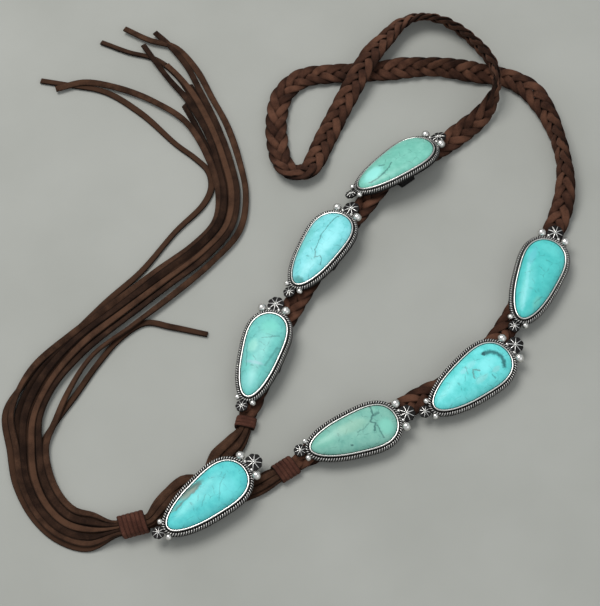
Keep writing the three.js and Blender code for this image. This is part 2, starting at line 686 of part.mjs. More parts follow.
// ---------------------------------------------------------------- assembly
const parts = new THREE.Group();
for (let strand = 0; strand < PLAIT.strands; strand += 1) {
  parts.add(named(`lace_${strand + 1}`, lace(strand), SUEDE));
}
CONCHOS.forEach((concho) => parts.add(conchoGroup(concho)));
parts.add(named('left_wrap', wrap(WRAPS.left), WRAP_SUEDE));
parts.add(named('right_wrap', wrap(WRAPS.right), WRAP_SUEDE));
parts.add(named('fringe_wrap', wrap(WRAPS.fringe), WRAP_SUEDE));
parts.add(named('left_bundle', bundle(WRAPS.left, LEFT_BUNDLE, BUNDLE.stack / 2), SUEDE));
parts.add(named('right_bundle', bundle(WRAPS.right, RIGHT_BUNDLE, -BUNDLE.stack / 2), SUEDE));
parts.add(named('fringe', fuse([head(), ...TAILS.map(tail)]), SUEDE));

// The middle of the whole necklace's box stands over the origin, and its lowest point on z = 0.
parts.updateMatrixWorld(true);
const box = new THREE.Box3().setFromObject(parts, true);
parts.position.set(-(box.min.x + box.max.x) / 2, -(box.min.y + box.max.y) / 2, -box.min.z);

const necklace = new THREE.Group();
necklace.add(parts);

export default necklace;
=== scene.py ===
# %% [markdown]
# # A suede lace necklace with seven turquoise conchos
# The necklace lies on a pale table. Five suede laces are plaited flat into the neck loop, seven
# silver conchos with turquoise cabochons ride on the plait, and below the last concho the loose
# laces meet in a wrapped fringe. Each cell makes one piece or one finish.

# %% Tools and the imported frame
import math
from bisect import bisect_right
from types import SimpleNamespace as Sizes

import bmesh
import bpy
from mathutils import Matrix, Vector, noise


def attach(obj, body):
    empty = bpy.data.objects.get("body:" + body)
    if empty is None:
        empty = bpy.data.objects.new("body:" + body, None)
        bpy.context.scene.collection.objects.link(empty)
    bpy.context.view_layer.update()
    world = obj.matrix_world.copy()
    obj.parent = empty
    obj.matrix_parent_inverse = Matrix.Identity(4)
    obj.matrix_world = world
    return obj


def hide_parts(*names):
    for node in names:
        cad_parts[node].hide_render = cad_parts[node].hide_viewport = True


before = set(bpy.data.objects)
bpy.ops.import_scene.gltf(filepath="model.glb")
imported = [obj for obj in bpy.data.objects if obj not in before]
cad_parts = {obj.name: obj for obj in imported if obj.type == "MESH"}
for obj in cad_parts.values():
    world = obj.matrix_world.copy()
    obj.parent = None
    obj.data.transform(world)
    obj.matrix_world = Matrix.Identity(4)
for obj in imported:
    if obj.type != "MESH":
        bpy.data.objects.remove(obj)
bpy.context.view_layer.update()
MM = 0.001

# %% [markdown]
# Lengths below are in millimetres, as a maker would measure them. They are drawn from the middle
# of the table, and the frame stands over the middle of its own box, so `TO_TABLE` shifts a piece
# from one to the other and turns it into metres. `Sizes` keeps the measures of one thing together
# by name. Every piece is finished in the same way: its faces are turned outwards, and it is laid
# on the table and tied to the frame's one body.

# %% From the drawing to the table
DRAWN_FROM = Vector((0.46, -20.65, 0.0))
TO_TABLE = Matrix.Scale(MM, 4) @ Matrix.Translation(DRAWN_FROM)
UP = Vector((0, 0, 1))


def add_object(name, data):
    made = bpy.data.objects.new(name, data)
    bpy.context.scene.collection.objects.link(made)
    return made


def add_mesh(name, bm, material):
    mesh = bpy.data.meshes.new(name)
    bm.to_mesh(mesh)
    bm.free()
    mesh.materials.append(material)
    return add_object(name, mesh)


def finish_piece(name, bm, material, cad_node, place=TO_TABLE):
    bmesh.ops.recalc_face_normals(bm, faces=bm.faces)
    bm.transform(place)
    piece = add_mesh(name, bm, material)
    piece.data.shade_smooth()
    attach(piece, "root")
    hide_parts(cad_node)
    print(name, len(piece.data.polygons), "faces")


# %% [markdown]
# The camera comes first. It looks down at the table from a steep angle with a long lens, so the
# necklace is seen almost as a plan, and a little of each concho's near wall shows.

# %% Camera
CAMERA = Sizes(distance=725.4, elevation=66.0, field=22.0, sensor=36.0)
steep = math.radians(CAMERA.elevation)
back = Vector((0, -math.cos(steep), math.sin(steep)))
camera_data = bpy.data.cameras.new("camera")
camera_data.sensor_width = CAMERA.sensor
camera_data.sensor_fit = "HORIZONTAL"
camera_data.lens = CAMERA.sensor / 2 / math.tan(math.radians(CAMERA.field / 2))
camera_data.clip_start = 0.01
camera_data.clip_end = 10.0
camera = add_object("camera", camera_data)
camera.location = TO_TABLE @ (back * CAMERA.distance)
camera.rotation_euler = back.to_track_quat("Z", "Y").to_euler()
bpy.context.scene.camera = camera
print("lens", round(camera_data.lens, 1), "mm")

# %% [markdown]
# A material is a small network of nodes, and each is quick to add by hand but long to write. These
# helpers keep it short: they add a node and set its values, feed a socket from another node or
# with a plain value, and do sums on numbers, on places and on colours.

# %% Node helpers
def new_material(name):
    material = bpy.data.materials.new(name)
    material.use_nodes = True
    tree = material.node_tree
    return material, tree, tree.nodes["Principled BSDF"]


def node(tree, kind, **values):
    made = tree.nodes.new(kind)
    for key, value in values.items():
        if key in made.inputs.keys():
            made.inputs[key].default_value = value
        else:
            setattr(made, key, value)
    return made


def feed(tree, socket, value):
    """Joins another node's output to a socket, or sets a plain value on it."""
    if hasattr(value, "node"):
        tree.links.new(value, socket)
    else:
        socket.default_value = value


def maths(tree, operation, *values, clamp=False):
    made = node(tree, "ShaderNodeMath", operation=operation, use_clamp=clamp)
    for socket, value in zip(made.inputs, values):
        feed(tree, socket, value)
    return made.outputs["Value"]


def vector_maths(tree, operation, *values, output="Vector"):
    made = node(tree, "ShaderNodeVectorMath", operation=operation)
    for socket, value in zip(made.inputs, values):
        feed(tree, socket, value)
    return made.outputs[output]


def ramp(tree, source, stops):
    made = node(tree, "ShaderNodeValToRGB")
    elements = made.color_ramp.elements
    while len(elements) < len(stops):
        elements.new(0.5)
    for element, (position, color) in zip(elements, stops):
        element.position = position
        element.color = (*color, 1)
    tree.links.new(source, made.inputs["Fac"])
    return made.outputs["Color"]


def mixed(tree, share, source, color):
    """Goes from the source's colour to a plain one as the share goes from 0 to 1."""
    made = node(tree, "ShaderNodeMix", data_type="RGBA")
    factor, first, second = [socket for socket in made.inputs if socket.enabled]
    tree.links.new(share, factor)
    tree.links.new(source, first)
    second.default_value = (*color, 1)
    return next(socket for socket in made.outputs if socket.enabled)


def noise_at(tree, place, scale, detail=2.0, roughness=0.5, output="Fac"):
    made = node(tree, "ShaderNodeTexNoise", Scale=scale, Detail=detail, Roughness=roughness)
    tree.links.new(place, made.inputs["Vector"])
    return made.outputs[output]


def smooth_share(tree, value, none, full):
    """0 where the value is `none`, 1 where it is `full`, and a smooth step between."""
    made = node(tree, "ShaderNodeMapRange", interpolation_type="SMOOTHSTEP")
    tree.links.new(value, made.inputs["Value"])
    made.inputs["From Min"].default_value = none
    made.inputs["From Max"].default_value = full
    return made.outputs["Result"]


def set_surface(tree, shader, values):
    """Feeds the shader's own sockets, by their names."""
    for name, value in values.items():
        feed(tree, shader.inputs[name], value)


def object_place(tree):
    return node(tree, "ShaderNodeTexCoord").outputs["Object"]


def painted(tree, name):
    """A value that was set on each vertex, under this name."""
    return node(tree, "ShaderNodeAttribute", attribute_name=name).outputs["Fac"]


def relief(tree, shader, height, strength, depth):
    bump = node(tree, "ShaderNodeBump", Strength=strength, Distance=depth)
    tree.links.new(height, bump.inputs["Height"])
    set_surface(tree, shader, {"Normal": bump.outputs["Normal"]})


# %% [markdown]
# The table is a plain pale sheet, a little mottled so that it doesn't look like plastic. It isn't
# tied to the frame's body, because it isn't part of the necklace.

# %% Table
TABLE = Sizes(half=2.0, mottle=14.0, dark=(0.315, 0.32, 0.295), light=(0.355, 0.36, 0.335))


def table_material():
    material, tree, shader = new_material("pale_table")
    mottle = noise_at(tree, object_place(tree), TABLE.mottle, 4.0)
    color = ramp(tree, mottle, [(0.3, TABLE.dark), (0.7, TABLE.light)])
    set_surface(tree, shader, {"Base Color": color, "Roughness": 0.9})
    return material


bm = bmesh.new()
bmesh.ops.create_grid(bm, x_segments=2, y_segments=2, size=TABLE.half)
table = add_mesh("table", bm, table_material())

# %% [markdown]
# One large soft light stands behind the necklace to the left, as a window would, so the shadows
# fall softly to the lower right. A weaker one fills from the front, and the pale surroundings
# keep the silver from reflecting black. Each light is a row of a small table, and so are the
# conchos, the stones and the laces further down.

# %% Lights
def rows_of(columns, *rows):
    """Each row's values under the names of the columns."""
    return [Sizes(**dict(zip(columns.split(), row))) for row in rows]


LIGHTS = rows_of(
    "name at size power color",
    ("window", (-0.55, 0.5, 1.5), 1.0, 20.0, (1.0, 0.99, 0.97)),
    ("fill", (0.9, -0.9, 1.1), 1.4, 4.0, (0.96, 0.98, 1.0)),
)
SURROUNDINGS = {"Color": (0.9, 0.93, 0.95, 1), "Strength": 0.55}
for light in LIGHTS:
    lamp = bpy.data.lights.new(light.name, "AREA")
    lamp.shape = "DISK"
    lamp.size = light.size
    lamp.energy = light.power
    lamp.color = light.color
    stand = add_object(light.name, lamp)
    stand.location = light.at
    stand.rotation_euler = Vector(light.at).to_track_quat("Z", "Y").to_euler()
world = bpy.data.worlds.new("studio")
bpy.context.scene.world = world
world.use_nodes = True
for socket, value in SURROUNDINGS.items():
    world.node_tree.nodes["Background"].inputs[socket].default_value = value
bpy.context.scene.view_settings.view_transform = "Standard"

# %% [markdown]
# Suede is leather with its soft side out. It has almost no shine, only a faint bloom of fibres
# that catches light at a grazing angle, which the shader's sheen gives. Its colour wanders in soft
# patches where the nap is brushed one way or another, and a fine bump breaks the surface up.
# The attribute `shade` is painted shade: it darkens a lace where it dives under its neighbours,
# towards its edges, underneath and in the fringe's lower layer, and `tone` makes one lace a little
# lighter than the next, as laces cut from one hide are.

# %% Suede
# The nap's patches, fibres, lace tone and bump, with the strength of the painted shade.
NAP_AND_SHADE = Sizes(patches=160.0, fibres=2600.0, tone=0.22, crease=0.85, bump=0.45, deep=0.0003)
PAINTED_SHADE_DARKER = 0.25
SUEDE_SURFACE = {
    "Roughness": 0.92, "Specular IOR Level": 0.1, "Sheen Weight": 0.08, "Sheen Roughness": 0.45,
    "Sheen Tint": (0.75, 0.5, 0.38, 1),
}


def suede(name, dark, middle, light):
    material, tree, shader = new_material(name)
    place = object_place(tree)
    patches = noise_at(tree, place, NAP_AND_SHADE.patches)
    fibres = noise_at(tree, place, NAP_AND_SHADE.fibres, 3.0, 0.7)
    wander = maths(tree, "MULTIPLY", maths(tree, "ADD", patches, fibres), 0.5)
    wander = maths(tree, "ADD", wander, maths(tree, "MULTIPLY", painted(tree, "tone"), NAP_AND_SHADE.tone))
    color = ramp(tree, wander, [(0.32, dark), (0.5, middle), (0.7, light)])
    # Painted shade: the shade attribute darkens the colour towards a quarter of the dark colour.
    crease = maths(tree, "MULTIPLY", painted(tree, "shade"), NAP_AND_SHADE.crease, clamp=True)
    color = mixed(tree, crease, color, tuple(PAINTED_SHADE_DARKER * c for c in dark))
    set_surface(tree, shader, {"Base Color": color, **SUEDE_SURFACE})
    relief(tree, shader, fibres, NAP_AND_SHADE.bump, NAP_AND_SHADE.deep)
    return material


SUEDE = suede("dark_suede", (0.011, 0.005, 0.003), (0.032, 0.0155, 0.0092), (0.078, 0.038, 0.022))
PLAIT_SUEDE = suede("plait_suede", (0.014, 0.006, 0.004), (0.046, 0.0195, 0.012), (0.108, 0.048, 0.029))
WRAP_SUEDE = suede("red_suede", (0.026, 0.010, 0.007), (0.063, 0.024, 0.016), (0.12, 0.049, 0.032))

# %% [markdown]
# Every lace, wire and rim in the necklace is one cross-section carried along a line. Blender can
# do that with a curve and a bevel, but here the section also turns and changes width as it
# goes. So a flat grid is rolled round the line instead: its columns go round the section and its
# rows go along the line, the seam is merged, and the ends are closed.

# %% A section carried along a line
MERGE_WITHIN = 1e-4


def soft_corner(angle, squareness):
    """A point of a rounded box: round at squareness 2, and squarer above it."""
    c, s = math.cos(angle), math.sin(angle)
    return (math.copysign(abs(c) ** (2 / squareness), c), math.copysign(abs(s) ** (2 / squareness), s))


def roll_grid(bm, columns, rows, place, closed=False):
    """`place` puts each point of the flat grid where it belongs."""
    verts = bmesh.ops.create_grid(bm, x_segments=columns, y_segments=rows, size=0.5)["verts"]
    for vert in verts:
        place(vert, round((vert.co.x + 0.5) * columns), round((vert.co.y + 0.5) * rows))
    bmesh.ops.remove_doubles(bm, verts=verts, dist=MERGE_WITHIN)
    if not closed:
        rims = {edge for vert in verts if vert.is_valid for edge in vert.link_edges if edge.is_boundary}
        bmesh.ops.holes_fill(bm, edges=list(rims), sides=0)


def roll_section(bm, stations, sides, squareness, paint, closed=False):
    """Each station is (point, half width vector, half height vector)."""
    def place(vert, column, row):
        row %= len(stations)
        across, up = soft_corner(2 * math.pi * column / sides, squareness)
        point, wide, high = stations[row]
        vert.co = point + wide * across + high * up
        paint(vert, row, across, up)

    roll_grid(bm, sides, len(stations) if closed else len(stations) - 1, place, closed)


def roll_lace(bm, stations, squareness, shade, tone=0.0, sides=12):
    """A suede lace, with its painted shade given by a function and one `tone` all over."""
    layers = bm.verts.layers.float
    shades = layers.get("shade") or layers.new("shade")
    tones = layers.get("tone") or layers.new("tone")

    def paint(vert, *where):
        vert[shades] = shade(*where)
        vert[tones] = tone

    roll_section(bm, stations, sides, squareness, paint)


# %% [markdown]
# The laces lie where a hand has put them, so their lines are short lists of points joined by one
# smooth curve. The curve is a centripetal Catmull-Rom, which passes through each point
# without looping, and it is measured so that places along it can be asked for in millimetres.

# %% A smooth line through hand-set points
def walked_along(points):
    """How far each point lies from the first, along the line through them all."""
    walked = [0.0]
    for first, second in zip(points, points[1:]):
        walked.append(walked[-1] + (second - first).length)
    return walked


class Line:
    PIECES = 24
    REACH = 0.3

    def __init__(self, points, extras=None):
        self.points = [Vector(point) for point in points]
        self.extras = extras
        steps = (len(self.points) - 1) * self.PIECES
        self.walked = walked_along([self.raw(step / self.PIECES) for step in range(steps + 1)])
        self.length = self.walked[-1]

    def raw(self, place):
        """The point at the curve's own place, which goes up by 1 from point to point."""
        span = min(int(place), len(self.points) - 2)
        share = place - span
        p1, p2 = self.points[span], self.points[span + 1]
        p0 = self.points[span - 1] if span else p1 * 2 - p2
        p3 = self.points[span + 2] if span + 2 < len(self.points) else p2 * 2 - p1
        d1, d2, d3 = (max((b - a).length ** 0.5, 1e-6) for a, b in ((p0, p1), (p1, p2), (p2, p3)))
        t1 = ((p1 - p0) / d1 - (p2 - p0) / (d1 + d2) + (p2 - p1) / d2) * d2
        t2 = ((p2 - p1) / d2 - (p3 - p1) / (d2 + d3) + (p3 - p2) / d3) * d2
        s2, s3 = share ** 2, share ** 3
        ends = p1 * (2 * s3 - 3 * s2 + 1) + p2 * (3 * s2 - 2 * s3)
        return ends + t1 * (s3 - 2 * s2 + share) + t2 * (s3 - s2)

    def place(self, distance):
        """The curve's own place at a distance along it."""
        high = min(max(bisect_right(self.walked, distance), 1), len(self.walked) - 1)
        before, after = self.walked[high - 1], self.walked[high]
        share = min(max((distance - before) / max(after - before, 1e-9), 0.0), 1.0)
        return (high - 1 + share) / self.PIECES

    def at(self, distance):
        """A point on the line, or straight on from its end when the distance is past it."""
        beyond = distance - min(max(distance, 0.0), self.length)
        return self.raw(self.place(distance)) + self.along(distance) * beyond

    def along(self, distance):
        inside = min(max(distance, self.REACH), self.length - self.REACH)
        ahead, behind = self.raw(self.place(inside + self.REACH)), self.raw(self.place(inside - self.REACH))
        return (ahead - behind).normalized()

    def extra(self, distance):
        """The value that goes with each point, carried on between the points."""
        place = self.place(distance)
        span = min(int(place), len(self.points) - 2)
        before, after = self.extras[span], self.extras[span + 1]
        return before + (after - before) * (place - span)


# %% [markdown]
# A concho is drawn on the bench, narrow end to the left, and then set down on the table. Each row
# gives where its stone's middle comes, which way its broad end points, how far it leans, how far
# the plait behind it lies off its middle line, how long and half how wide its stone is, and how
# far round the stone its broad end's daisy sits. The strap behind it sets how high it stands.

# %% Where the conchos lie
CONCHOS = rows_of(
    "number x y heading lean aside length half_wide turn",
    (1, 46.2, 68.3, 37, -30, -2.0, 42.0, 10.2, 0),
    (2, 9.6, 23.6, 59, -16, -2.2, 41.5, 9.2, -4),
    (3, -17.7, -29.7, 74, -10, -2.5, 41.5, 8.2, 2),
    (4, 24.0, -67.4, 21, 4, 3.4, 40.5, 8.4, 2),
    (5, 77.7, -41.2, 39, 4, 4.8, 42.8, 9.0, 0),
    (6, 110.6, 8.6, 67, 3, 2.7, 42.2, 8.7, 0),
    (7, -41.2, -97.6, 40, 0, -1.6, 41.5, 8.6, -1),
)
CLEAR = 0.3
STRAP = Sizes(long=8.0, thick=1.0, straight=9.0)
PLAIT_HOLD = Sizes(half_wide=5.2, high=4.1)
BUNDLE_HOLD = Sizes(half_wide=4.2, high=5.3)


def hold_of(concho):
    """Half the width and the height that the strap leaves: only the last one holds loose laces."""
    return BUNDLE_HOLD if concho.number == len(CONCHOS) else PLAIT_HOLD


def strap_depth(concho):
    return 2 * CLEAR + hold_of(concho).high + STRAP.thick


def concho_place(concho):
    lean = math.radians(concho.lean)
    reach = hold_of(concho).half_wide + CLEAR + STRAP.thick
    corners = (concho.aside - reach, concho.aside + reach)
    rise = -min(y * math.sin(lean) - strap_depth(concho) * math.cos(lean) for y in corners)
    turn = Matrix.Rotation(math.radians(concho.heading), 4, "Z") @ Matrix.Rotation(lean, 4, "X")
    return Matrix.Translation((concho.x, concho.y, rise)) @ turn


# %% [markdown]
# The plait's line passes straight behind each concho and wanders freely between them. In each row
# the third number is `roll`, which turns the band about its own line, from 0 where it lies flat
# to 90 where it stands on edge, and the last is `over`, which lifts it where it climbs across
# another stretch of itself. The points could be fitted to a spline by eye in the editor, but
# written out they stay easy to change.

# %% The plait's line
PLAIT = Sizes(strands=5, swing=3.75, lift=1.12, stitch=36.0, dwell=0.3, slack=0.1)
BAND = Sizes(half_wide=5.2, half_high=2.05, floor=0.35)
AFTER_LEFT_WRAP = [(-23.6, -56.4, 0, 0), (-20.8, -46.8, -4, 0.4)]
BETWEEN_3_AND_2 = [(-2.6, -2.4, -8, 0.8)]
BETWEEN_2_AND_1 = [(28.5, 46.5, -8, 0.8)]
NECK = [
    (67, 81, 0, 0.5), (79, 90, 14, 0), (89.5, 98.6, 44, 0.6), (96, 108.6, 74, 3.6),
    (97.5, 119, 86, 4.7), (94.5, 129, 86, 3.9), (89, 139, 82, 1.2), (81.5, 148, 76, 0),
    (71.5, 154.6, 66, 0), (60, 156.5, 54, 0), (50.5, 152, 40, 0.3), (43, 143, 22, 1.6),
    (36.5, 134.3, 6, 4.2), (31.2, 124.8, 0, 4.8), (26, 114.5, 0, 4.4), (20.8, 104.5, 0, 2.2),
    (15.5, 94, 0, 0), (10.6, 83, 0, 0), (7.4, 74.6, 10, 0), (4.3, 69.2, 20, 0), (-0.8, 67.2, 24, 0),
    (-5.9, 69.2, 20, 0), (-9, 74.6, 10, 0), (-11, 84, 0, 0), (-11.6, 99, 0, 0), (-8.5, 112.5, 0, 0),
    (0.5, 121.5, 4, 0), (14, 124.5, 0, 0), (27, 125.4, 0, 0), (39.5, 126.1, 2, 0), (50.5, 126.4, 34, 0),
    (61.5, 126.5, 62, 0), (72, 126.2, 64, 0), (83, 124.8, 38, 0), (94, 124.2, 0, 0), (104.5, 122, 0, 0),
    (114, 114.5, 20, 0), (121, 102, 48, 0), (126, 86.5, 70, 0), (128.2, 71, 64, 0), (127.8, 57, 34, 0),
    (124.8, 45, 8, 0), (119.4, 33, 0, 0.6),
]
BETWEEN_6_AND_5 = [(98.5, -10, -3, 0.8), (90.5, -21.5, -3, 0.8)]
BETWEEN_5_AND_4 = [(56.5, -48, -3, 0.8), (44, -55.5, -3, 0.8)]
BEFORE_RIGHT_WRAP = [(6, -74, -2, 0.3), (-0.4, -78.9, 0, 0)]


def free(rows):
    """The rows as points that rest on the table, however the band is turned, each with its roll."""
    points = []
    for x, y, roll, over in rows:
        turn = math.radians(roll)
        rest = BAND.floor + BAND.half_wide * abs(math.sin(turn)) + BAND.half_high * math.cos(turn)
        points.append((Vector((x, y, rest + over)), roll))
    return points


def behind(number, way):
    """Three points straight behind a concho, whose own line the plait follows forwards or back."""
    concho = CONCHOS[number - 1]
    points = []
    for end in (-STRAP.straight, 0.0, STRAP.straight):
        at = concho_place(concho) @ Vector((way * end, concho.aside, -CLEAR - BAND.half_high))
        points.append((at, way * concho.lean))
    return points


route_rows = [
    *free(AFTER_LEFT_WRAP), *behind(3, 1), *free(BETWEEN_3_AND_2), *behind(2, 1), *free(BETWEEN_2_AND_1),
    *behind(1, 1), *free(NECK), *behind(6, -1), *free(BETWEEN_6_AND_5), *behind(5, -1),
    *free(BETWEEN_5_AND_4), *behind(4, -1), *free(BEFORE_RIGHT_WRAP),
]
PLAIT_LINE = Line([row[0] for row in route_rows], [row[1] for row in route_rows])
print("the plait is", round(PLAIT_LINE.length), "mm long")

# %% [markdown]
# No lace is perfectly even, and none changes suddenly. Three small helpers give that: `eased` goes
# smoothly from one state to another, `between` mixes two sizes, and `drift` is a slow random wander
# that comes out the same each time. A fourth, `edge_shade`, paints shade on a lace towards its two edges.

# %% Evenness and painted edge shade
def eased(value):
    """Goes smoothly from 0 to 1 as the value does, and stays there."""
    share = min(max(value, 0.0), 1.0)
    return share * share * (3 - 2 * share)


def between(first, last, share):
    return first + (last - first) * share


def drift(kind, place, lane):
    """The kind says how strong, how fast, how far apart two lanes are, and in which layer of noise."""
    strength, speed, apart, layer = kind
    return strength * noise.noise(Vector((place * speed, lane * apart, layer)))


# Painted shade, darker towards a lace's two edges.
def edge_shade(across, start, strength):
    return strength * max(0.0, abs(across) - start)


# %% [markdown]
# In a flat plait of five, each lace swings from one edge to the other, going under two laces and
# then over two. So its place across the band is a sine wave, its height is a wave twice as fast,
# and each lace runs a fifth of a wave behind the last. A second, faster wave makes it stay up and
# stay down a little longer. At both ends the laces draw together to go into the wraps.

# %% How a plaited lace runs
GATHER = Sizes(tuck=3.2, over=11.0, least=0.5)


def gathered(distance):
    """1 in the open plait, less where it goes into a wrap."""
    room = GATHER.tuck + min(distance, PLAIT_LINE.length - distance)
    return between(GATHER.least, 1, eased(room / GATHER.over))


def lace_place(strand, distance):
    """A lace's middle, the way across the band, and how high the lace rides, from -1 to 1."""
    along = PLAIT_LINE.along(distance)
    turn = Matrix.Rotation(math.radians(PLAIT_LINE.extra(distance)), 3, along)
    across = turn @ UP.cross(along).normalized()
    up = along.cross(across)
    phase = 2 * math.pi * (distance / PLAIT.stitch + strand / PLAIT.strands)
    draw = gathered(distance)
    ride = math.sin(2 * phase) + PLAIT.dwell * math.sin(4 * phase)
    swing = PLAIT.swing * draw * math.sin(phase)
    lift = PLAIT.lift * min(1.0, draw + PLAIT.slack) * ride
    return PLAIT_LINE.at(distance) + across * swing + up * lift, across, ride


# %% [markdown]
# The face of the plait shows leaf-shaped stitches in two slanting rows that meet in a V. Each
# stitch is widest where it lies on top, and is pinched where it dives, with painted shade there. The
# laces could be one repeated model, but each is rolled on its own line, so no two stitches are quite alike.

# %% The five plaited laces
PLAITED_LACE = Sizes(half_wide=1.88, half_thick=0.76, pinch=0.12, even_ride=0.6, step=1.15, squareness=2.6)
PLAITED_UNEVEN = (0.13, 0.09, 7.3, 0.0)
DIVE_SHADE = Sizes(level=0.5, strength=0.75)
STRAND_TONES = (0.2, 0.7, -0.2, 0.45, 0.0)


def plaited_lace(strand):
    long = PLAIT_LINE.length + 2 * GATHER.tuck
    steps = round(long / PLAITED_LACE.step)
    places = [lace_place(strand, long * step / steps - GATHER.tuck) for step in range(steps + 1)]
    stations = []
    for index, (at, across, ride) in enumerate(places):
        along = (places[min(index + 1, steps)][0] - places[max(index - 1, 0)][0]).normalized()
        high = along.cross(across).normalized()
        uneven = 1 + drift(PLAITED_UNEVEN, index, strand)
        fullness = 1 + PLAITED_LACE.pinch * (abs(ride) - PLAITED_LACE.even_ride)
        half_wide = PLAITED_LACE.half_wide * fullness * uneven
        stations.append((at, high.cross(along) * half_wide, high * PLAITED_LACE.half_thick * uneven))

    # Painted shade: darker where the lace dives under its neighbours and towards its edges.
    def shade(row, across, up):
        facing = places[row][2] if up >= 0 else -places[row][2]
        dive = max(0.0, DIVE_SHADE.level - DIVE_SHADE.strength * facing)
        return dive + edge_shade(across, 0.75, 1.4)

    bm = bmesh.new()
    roll_lace(bm, stations, PLAITED_LACE.squareness, shade, STRAND_TONES[strand])
    finish_piece(f"plaited_lace_{strand + 1}", bm, PLAIT_SUEDE, f"lace_{strand + 1}")


for strand in range(PLAIT.strands):
    plaited_lace(strand)

# %% [markdown]
# The silver is oxidised: it was blackened all over and then rubbed, so it is bright where a
# thumb reaches and black in the recesses. The attribute `patina` says how deep each point lies,
# and a little noise scatters the tarnish and small scratches over the rubbed parts.

# %% Oxidised silver
TARNISH = Sizes(patches=900.0, strength=0.5, scratches=5000.0, bump=0.12, deep=0.0002)
SILVER_COLORS = [(0.06, (0.72, 0.71, 0.68)), (0.34, (0.30, 0.295, 0.285)), (0.66, (0.022, 0.021, 0.021))]
SILVER_ROUGH = Sizes(rubbed=0.26, rougher=0.45)


def oxidised_silver():
    material, tree, shader = new_material("oxidised_silver")
    place = object_place(tree)
    patches = maths(tree, "SUBTRACT", noise_at(tree, place, TARNISH.patches, 3.0, 0.6), 0.5)
    scattered = maths(tree, "MULTIPLY", patches, TARNISH.strength)
    depth = maths(tree, "ADD", painted(tree, "patina"), scattered, clamp=True)
    color = ramp(tree, depth, SILVER_COLORS)
    rougher = maths(tree, "MULTIPLY", depth, SILVER_ROUGH.rougher)
    rough = maths(tree, "ADD", rougher, SILVER_ROUGH.rubbed)
    set_surface(tree, shader, {"Base Color": color, "Roughness": rough, "Metallic": 1.0})
    scratches = noise_at(tree, place, TARNISH.scratches, 2.0, 0.6)
    relief(tree, shader, scratches, TARNISH.bump, TARNISH.deep)
    return material


SILVER = oxidised_silver()

# %% [markdown]
# A cabochon here is a teardrop. Its half width falls off towards both ends, faster at the narrow
# one, and every rim and wire round it follows the same outline a little further out. A formula
# gives it, so one pair of sizes makes each of the seven.

# %% The teardrop outline
STONE = Sizes(taper=0.3, blunt=3.2, point=2.6, girdle=2.4, high=6.1, base=1.1)
OUTLINE_STEP = 0.12
OUTLINE_FINE = 720


def teardrop(concho, angle, grow=0.0):
    along, side = math.cos(angle), math.sin(angle)
    power = STONE.blunt if along > 0 else STONE.point
    fullness = math.sqrt(max(0.0, 1 - abs(along) ** power)) * (1 + STONE.taper * along)
    at = Vector((along * concho.length / 2, math.copysign(concho.half_wide * fullness, side), 0))
    if grow:
        before, after = teardrop(concho, angle - OUTLINE_STEP), teardrop(concho, angle + OUTLINE_STEP)
        at += Vector((after.y - before.y, before.x - after.x, 0)).normalized() * grow
    return at


def even_outline(concho, grow, count):
    """Points at equal distances round the outline, each with the direction outwards."""
    fine = [teardrop(concho, 2 * math.pi * i / OUTLINE_FINE, grow) for i in range(OUTLINE_FINE + 1)]
    walked = walked_along(fine)
    places, index = [], 0
    for i in range(count):
        goal = walked[-1] * i / count
        while walked[index + 1] < goal:
            index += 1
        share = (goal - walked[index]) / (walked[index + 1] - walked[index])
        places.append(fine[index].lerp(fine[index + 1], share))
    rim = []
    for i, at in enumerate(places):
        along = (places[(i + 1) % count] - places[i - 1]).normalized()
        rim.append((at, Vector((along.y, -along.x, 0))))
    return rim, walked[-1]


# %% [markdown]
# A silversmith solders a concho from small parts on a flat bench, and it is made the same way
# here. Wires and strips are sections carried along a line, balls are small spheres, and plates are
# discs cut to an outline, raised and given a soft edge. A wire's section is written as its number
# of sides and its squareness. Each part also says how black it is.

# %% Drawing on the bench
UNDER_BALL = Sizes(start=0.1, strength=0.9)


class Bench:
    """A concho's own drawing, in millimetres, and its place on the table."""

    def __init__(self, concho):
        self.concho = concho
        self.bm = bmesh.new()
        self.patina = self.bm.verts.layers.float.new("patina")

    def tube(self, stations, section, patina, closed=False):
        def paint(vert, row, across, up):
            vert[self.patina] = patina(up)

        roll_section(self.bm, stations, *section, paint, closed)

    def ball(self, at, radius, detail=3):
        verts = bmesh.ops.create_icosphere(
            self.bm, subdivisions=detail, radius=radius, matrix=Matrix.Translation(at))["verts"]
        for vert in verts:
            low = (at.z - vert.co.z) / radius
            vert[self.patina] = UNDER_BALL.strength * max(0.0, low + UNDER_BALL.start)

    def disc(self, outline, low, high, bevel, patina):
        verts = bmesh.ops.create_circle(self.bm, cap_ends=True, segments=len(outline), radius=1)["verts"]
        for vert, (x, y) in zip(verts, outline):
            vert.co = Vector((x, y, low))
            vert[self.patina] = patina
        grown = bmesh.ops.extrude_face_region(self.bm, geom=[verts[0].link_faces[0]])["geom"]
        top = [item for item in grown if isinstance(item, bmesh.types.BMVert)]
        for vert in top:
            vert.co.z = high
        rim = {edge for vert in top for edge in vert.link_edges if all(end in top for end in edge.verts)}
        bmesh.ops.bevel(self.bm, geom=list(rim), offset=bevel, segments=2, profile=0.5,
                        affect="EDGES", material=-1)

    def set_down(self, name, material, cad_node):
        finish_piece(name, self.bm, material, cad_node, TO_TABLE @ concho_place(self.concho))


def rubbed(*steps):
    """The patina of a wire that was rubbed on top: steps are (lowest height, patina), top first."""
    return lambda up: next(patina for lowest, patina in steps if up > lowest)


# %% [markdown]
# The setting starts from a plate sawn to the outline. On it stands the bezel, a thin strip bent
# round the stone and rubbed over its edge.

